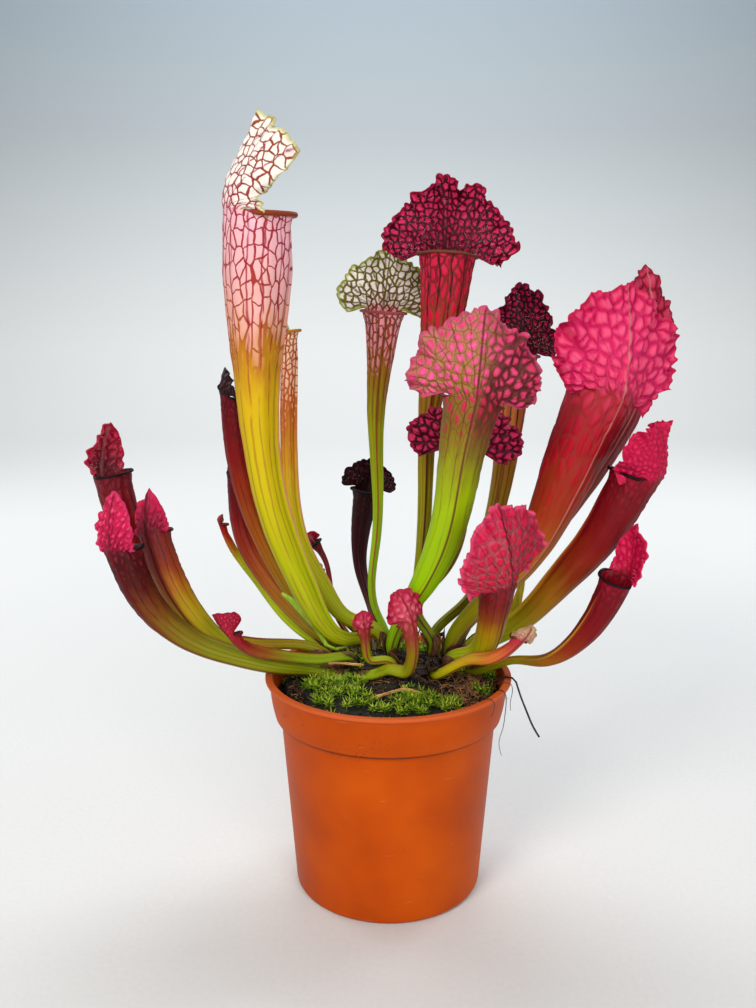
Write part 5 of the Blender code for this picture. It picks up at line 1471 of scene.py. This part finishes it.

# Living moss: thin clear leaves, yellow-green. Their colour runs from near black at the stem to
# bright at the tips, which is painted shade deep in the cushion and light on its top.
moss_green, tree, shader = empty_material("living_moss_leaf")
tint = add(tree, "Attribute", attribute_name="tint").outputs["Vector"]
parts = add(tree, "SeparateXYZ", (tint,))
light = add(tree, "Math", (parts.outputs["X"], 0.35, parts.outputs["Y"]), operation="MULTIPLY_ADD")
tone = add(tree, "ValToRGB", (light,), [(0.14, "#0C1402"), (0.4, "#365604"), (0.68, "#7CA80C"),
                                        (0.9, "#C4DC30"), (1.0, "#E6F26A")])
cells = add(tree, "TexNoise", {"Vector": tint, "Scale": 14.0})
bump = add(tree, "Bump", {"Height": cells, "Strength": 0.3, "Distance": 0.0001})
feed(shader, {"Base Color": tone, "Roughness": 0.5, "Specular IOR Level": LEAF_GLOSS, "Normal": bump})
glow = add(tree, "BsdfTranslucent", {"Color": tone})
feed(tree.nodes["Material Output"], {"Surface": add(tree, "MixShader", (0.35, shader, glow))})

draw = np.random.default_rng(88)
shoots = strewn(MOSS_SHOOTS, draw, True)
deep_in = np.array([min(1.0, 2.5 * moss_depth(x, y)) for x, y, level in shoots])
rise_share = 0.3 * deep_in + 0.7 * draw.uniform(0, 1, MOSS_SHOOTS) ** 1.5
shoot_height = SHOOT_HEIGHTS[0] + (SHOOT_HEIGHTS[1] - SHOOT_HEIGHTS[0]) * rise_share
lean = draw.normal(0, 0.25, (MOSS_SHOOTS, 2))
shoot_way = unit(np.column_stack([lean, np.ones(MOSS_SHOOTS)]))
tips = shoots + shoot_way * shoot_height[:, None]
stem_points, stem_faces = spikes(shoots - [0, 0, 0.4], shoot_way, shoot_height + MOSS_STEM_OVER,
                                 MOSS_STEM_RADIUS)
leaf_tint = draw.uniform(0, 1, MOSS_SHOOTS)
# The tint's second value is the height on the shoot, which sets the painted shade.
stem_tint = np.stack([np.repeat(leaf_tint, 4), np.tile([0.05, 0.05, 0.05, 0.55], MOSS_SHOOTS),
                      np.zeros(4 * MOSS_SHOOTS)], axis=1)
moss_points = [stem_points]
moss_facts = [stem_tint]
moss_faces = stem_faces
moss_quads = []
turn = draw.uniform(0, 2 * math.pi, MOSS_SHOOTS)
for k in range(SHOOT_LEAVES):
    upper = k % 2
    angle = turn + 2 * math.pi * k / SHOOT_LEAVES + draw.normal(0, 0.15, MOSS_SHOOTS)
    climb = np.radians(draw.uniform(*MOSS_LEAF_CLIMBS[upper], MOSS_SHOOTS))
    flat = np.stack([np.cos(angle), np.sin(angle), np.zeros(MOSS_SHOOTS)], axis=1)
    way = flat * np.cos(climb)[:, None] + [0, 0, 1] * np.sin(climb)[:, None]
    sideways = np.stack([-np.sin(angle), np.cos(angle), np.zeros(MOSS_SHOOTS)], axis=1)
    keel = np.cross(way, sideways)
    length = draw.uniform(*MOSS_LEAF_LENGTHS, MOSS_SHOOTS)[:, None]
    start = tips - shoot_way * (0.15 if upper else 0.7)
    middle = start + way * 0.45 * length
    wide = sideways * MOSS_LEAF_HALF_WIDTH
    tip = start + way * length + [0, 0, 0.12] * length
    corners = [start + 0.5 * wide, start - 0.5 * wide, start - keel * 0.16,
               middle + wide, middle - wide, middle - keel * 0.2, tip]
    first = sum(len(group) for group in moss_points) + 7 * np.arange(MOSS_SHOOTS)[:, None]
    moss_points.append(np.stack(corners, axis=1).reshape(-1, 3))
    rise = np.tile([0.2, 0.2, 0.15, 0.5, 0.5, 0.4, 0.72], MOSS_SHOOTS) + (0.08 if upper else 0.0)
    moss_facts.append(np.stack([np.repeat(leaf_tint, 7), rise, np.zeros(7 * MOSS_SHOOTS)], axis=1))
    for face in ((0, 1, 4, 3), (1, 2, 5, 4), (2, 0, 3, 5)):
        moss_quads += (first + face).tolist()
    for face in ((3, 4, 6), (4, 5, 6), (5, 3, 6), (0, 2, 1)):
        moss_faces += (first + face).tolist()
made("moss_shoots", np.concatenate(moss_points), moss_faces + moss_quads, moss_green, "moss",
     facts={"tint": np.concatenate(moss_facts)})

# Crown: the woody rhizome that every leaf grows from. Papery brown sheaths, the bases of dead
# leaves, clasp the foot of each living one.

SHEATH_ROWS = 9
SHEATH_COLUMNS = 9
SHEATH_THICKNESS = 0.3
SHEATH_CLEARANCE = 0.5
SHEATH_FLARE = 1.6
SHEATH_PLACES = (0.0, 2.2, 4.2)
SHEATH_LENGTHS = (8.0, 15.0)
SHEATH_SPREADS = (0.9, 1.3)

# Rhizome bark: brown, rough and damp, ringed by uneven old leaf scars about 3 mm apart.
bark, tree, shader = empty_material("scarred_rhizome_bark")
place = add(tree, "TexCoord").outputs["Object"]
knots = add(tree, "TexNoise", {"Vector": place, "Scale": 260.0, "Detail": 5.0, "Roughness": 0.65})
rings = add(tree, "TexWave", {"Vector": place, "Scale": 105.0, "Distortion": 5.0, "Detail": 2.0},
            bands_direction="Z")
scars = add(tree, "Math", (knots, rings.outputs["Fac"]), operation="MULTIPLY")
tone = add(tree, "ValToRGB", (scars,), [(0.08, "#0C0705"), (0.3, "#1E120B"), (0.5, "#352214"),
                                        (0.8, "#5C4224")])
bump = add(tree, "Bump", {"Height": scars, "Strength": 1.0, "Distance": 0.001})
feed(shader, {"Base Color": tone, "Roughness": 0.75, "Normal": bump})
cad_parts["rhizome"].data.materials[0] = bark

# Dead leaf base: thin brown paper with fine ribs along it, olive green in patches.
sheath_paper, tree, shader = empty_material("papery_leaf_base")
tint = add(tree, "Attribute", attribute_name="tint").outputs["Vector"]
parts = add(tree, "SeparateXYZ", (tint,))
ribs = add(tree, "Math", (parts.outputs["Y"], 34.0), operation="MULTIPLY")
ribbed = add(tree, "Math", (ribs,), operation="SINE")
mottle = add(tree, "TexNoise", {"Vector": tint, "Scale": 5.0, "Detail": 4.0})
light = add(tree, "Math", (ribbed, 0.07, mottle), operation="MULTIPLY_ADD")
tone = add(tree, "ValToRGB", (light,), [(0.3, "#24120C"), (0.45, "#4A2416"), (0.6, "#7A4A26"),
                                        (0.78, "#9A8A34")])
bump = add(tree, "Bump", {"Height": light, "Strength": 0.6, "Distance": 0.0004})
feed(shader, {"Base Color": tone, "Roughness": 0.6, "Normal": bump})


def sheath(leaf, length, middle, spread, tint):
    """A pointed scale round a leaf's foot: its shape, and the tint at each point."""
    centre, radius, tangent, facing, along = centre_line(leaf.slot, leaf.route, leaf.faces, 0.8)
    at = np.linspace(0.0, length, SHEATH_ROWS)
    centre, tangent, facing = (read_at(at, along, table) for table in (centre, tangent, facing))
    radius = np.interp(at, along, radius)
    side = np.cross(tangent, facing)
    share = at / length
    across = np.linspace(-1, 1, SHEATH_COLUMNS)
    half = spread * np.clip(1 - share**2.2, 0.02, 1)
    angles = middle + half[:, None] * across
    away = radius + SHEATH_CLEARANCE + SHEATH_FLARE * share**1.5
    outward = outward_from(side, facing, angles)
    points = [centre[:, None] + outward * (away + lift)[:, None, None] for lift in (0.0, SHEATH_THICKNESS)]
    index = np.arange(2 * SHEATH_ROWS * SHEATH_COLUMNS).reshape(2, SHEATH_ROWS, SHEATH_COLUMNS)
    below, above = index
    faces = grid_faces(below) + grid_faces(above)
    for edge in (np.stack([below[:, 0], above[:, 0]]), np.stack([below[:, -1], above[:, -1]]),
                 np.stack([below[0], above[0]]), np.stack([below[-1], above[-1]])):
        faces += grid_faces(edge)
    fact = np.stack(np.broadcast_arrays(share[:, None] * length / 10, across[None, :], tint), axis=-1)
    return (np.concatenate(points).reshape(-1, 3), faces), np.concatenate([fact, fact]).reshape(-1, 3)


draw = np.random.default_rng(93)
sheaths = [
    sheath(leaf, draw.uniform(*SHEATH_LENGTHS), middle + draw.uniform(-0.5, 0.5),
           draw.uniform(*SHEATH_SPREADS), draw.uniform(0, 20))
    for leaf in LEAVES.values() for middle in SHEATH_PLACES
]
made("leaf_base_sheaths", *joined([shape for shape, tint in sheaths]), sheath_paper, "rhizome",
     facts={"tint": np.concatenate([tint for shape, tint in sheaths])})

# Roots and straw: a tangle of wiry rootlets on the right, three of them over the pot's rim, a dead
# leaf stalk that lies on the moss, and a dry scrap of leaf.

TANGLE_COUNT = 110
TANGLE_STEP = 1.3
TANGLE_ARCH = 3.2
TANGLE_RADIUS = 0.26
RIM_ROOT_RADIUS = 0.28
TANGLE_AREA = (30.0, 51.0, -30.0, 11.0)
RIM_ROOTS = (
    ((46, -22, 103), (49.5, -25.5, 106), (51.6, -27.8, 108.7), (53.2, -29, 108), (54.2, -29.4, 104),
     (53.8, -29.4, 97), (52.9, -29.2, 90), (51.4, -28.8, 83), (52.6, -29.6, 77)),
    ((44, -12, 104), (50, -16, 106.5), (55.2, -18.6, 108.8), (57.6, -19.2, 108), (58.4, -19.4, 104.5),
     (57.6, -19.2, 99), (57.8, -19.3, 95)),
    ((38, -30, 103), (42, -36, 106), (44.9, -38.4, 108.7), (46.9, -39.2, 107.7), (47.4, -39.6, 104),
     (46.2, -38.6, 100)),
)

# Wiry living root: black-brown skin, slightly glossy, redder in patches.
wiry = speckled("wiry_black_root", {"Scale": 180.0, "Detail": 3.0},
                [(0.3, "#100A08"), (0.55, "#261511"), (0.75, "#5A2E24")], {"Roughness": 0.5}, (0.6, 0.0003))
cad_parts["stray_root"].data.materials[0] = wiry

# Straw: a dead stalk and leaf scrap, dry and fibrous, pale tan with brown streaks along them.
straw = speckled("dry_leaf_straw", {"Scale": 1.0, "Detail": 3.0},
                 [(0.3, "#6A3E18"), (0.5, "#B5823C"), (0.7, "#DDBB82")], {"Roughness": 0.7}, (0.6, 0.0003),
                 {"Scale": (90.0, 900.0, 900.0)})
for node_name in ("dead_stalk", "dry_scrap"):
    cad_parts[node_name].data.materials[0] = straw

draw = np.random.default_rng(97)
tangle_routes = []
while len(tangle_routes) < TANGLE_COUNT:
    x = draw.uniform(*TANGLE_AREA[:2])
    y = draw.uniform(*TANGLE_AREA[2:])
    heading = draw.uniform(0, 2 * math.pi)
    route = []
    for share in np.linspace(0, 1, 11):
        heading += draw.normal(0, 0.55)
        x += TANGLE_STEP * math.cos(heading)
        y += TANGLE_STEP * math.sin(heading)
        level = on_ground(x, y)
        if level is None or math.hypot(x, y) > GROUND_RADIUS:
            break
        route.append((x, y, level + 0.3 + TANGLE_ARCH * math.sin(math.pi * share) * draw.uniform(0.3, 1.0)))
    if len(route) > 5:
        tangle_routes.append(drawn_through(route, 16))
made("root_tangle", *tubes(tangle_routes, TANGLE_RADIUS, 4), rootlet, "root")
rim_routes = [drawn_through(route, 32) for route in RIM_ROOTS]
made("rim_roots", *tubes(rim_routes, RIM_ROOT_RADIUS, 5), wiry, "root")

# Sword leaves: two flat young leaves without a pitcher, stiff and glossy, with a midrib. Their
# solids stay as they are and get a skin here.

SWORD_LEAVES = {
    "sword_leaf_yellow": ((0.3, "#A8A41C"), (0.5, "#C9B81E"), (0.7, "#DCCB3A")),
    "sword_leaf_green": ((0.3, "#6E9A1C"), (0.5, "#8DB02A"), (0.7, "#A8C440")),
}

# Living blade: waxy skin over straight veins about 0.8 mm apart.
for node_name, tones in SWORD_LEAVES.items():
    blade = speckled(node_name + "_skin", {"Scale": 1.0, "Detail": 2.0}, tones,
                     {"Roughness": 0.4, "IOR": LEAF_IOR, "Specular IOR Level": LEAF_GLOSS}, (0.5, 0.0003),
                     {"Rotation": (0.0, 0.5, 0.0), "Scale": (1200.0, 300.0, 70.0)})
    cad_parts[node_name].data.materials[0] = blade
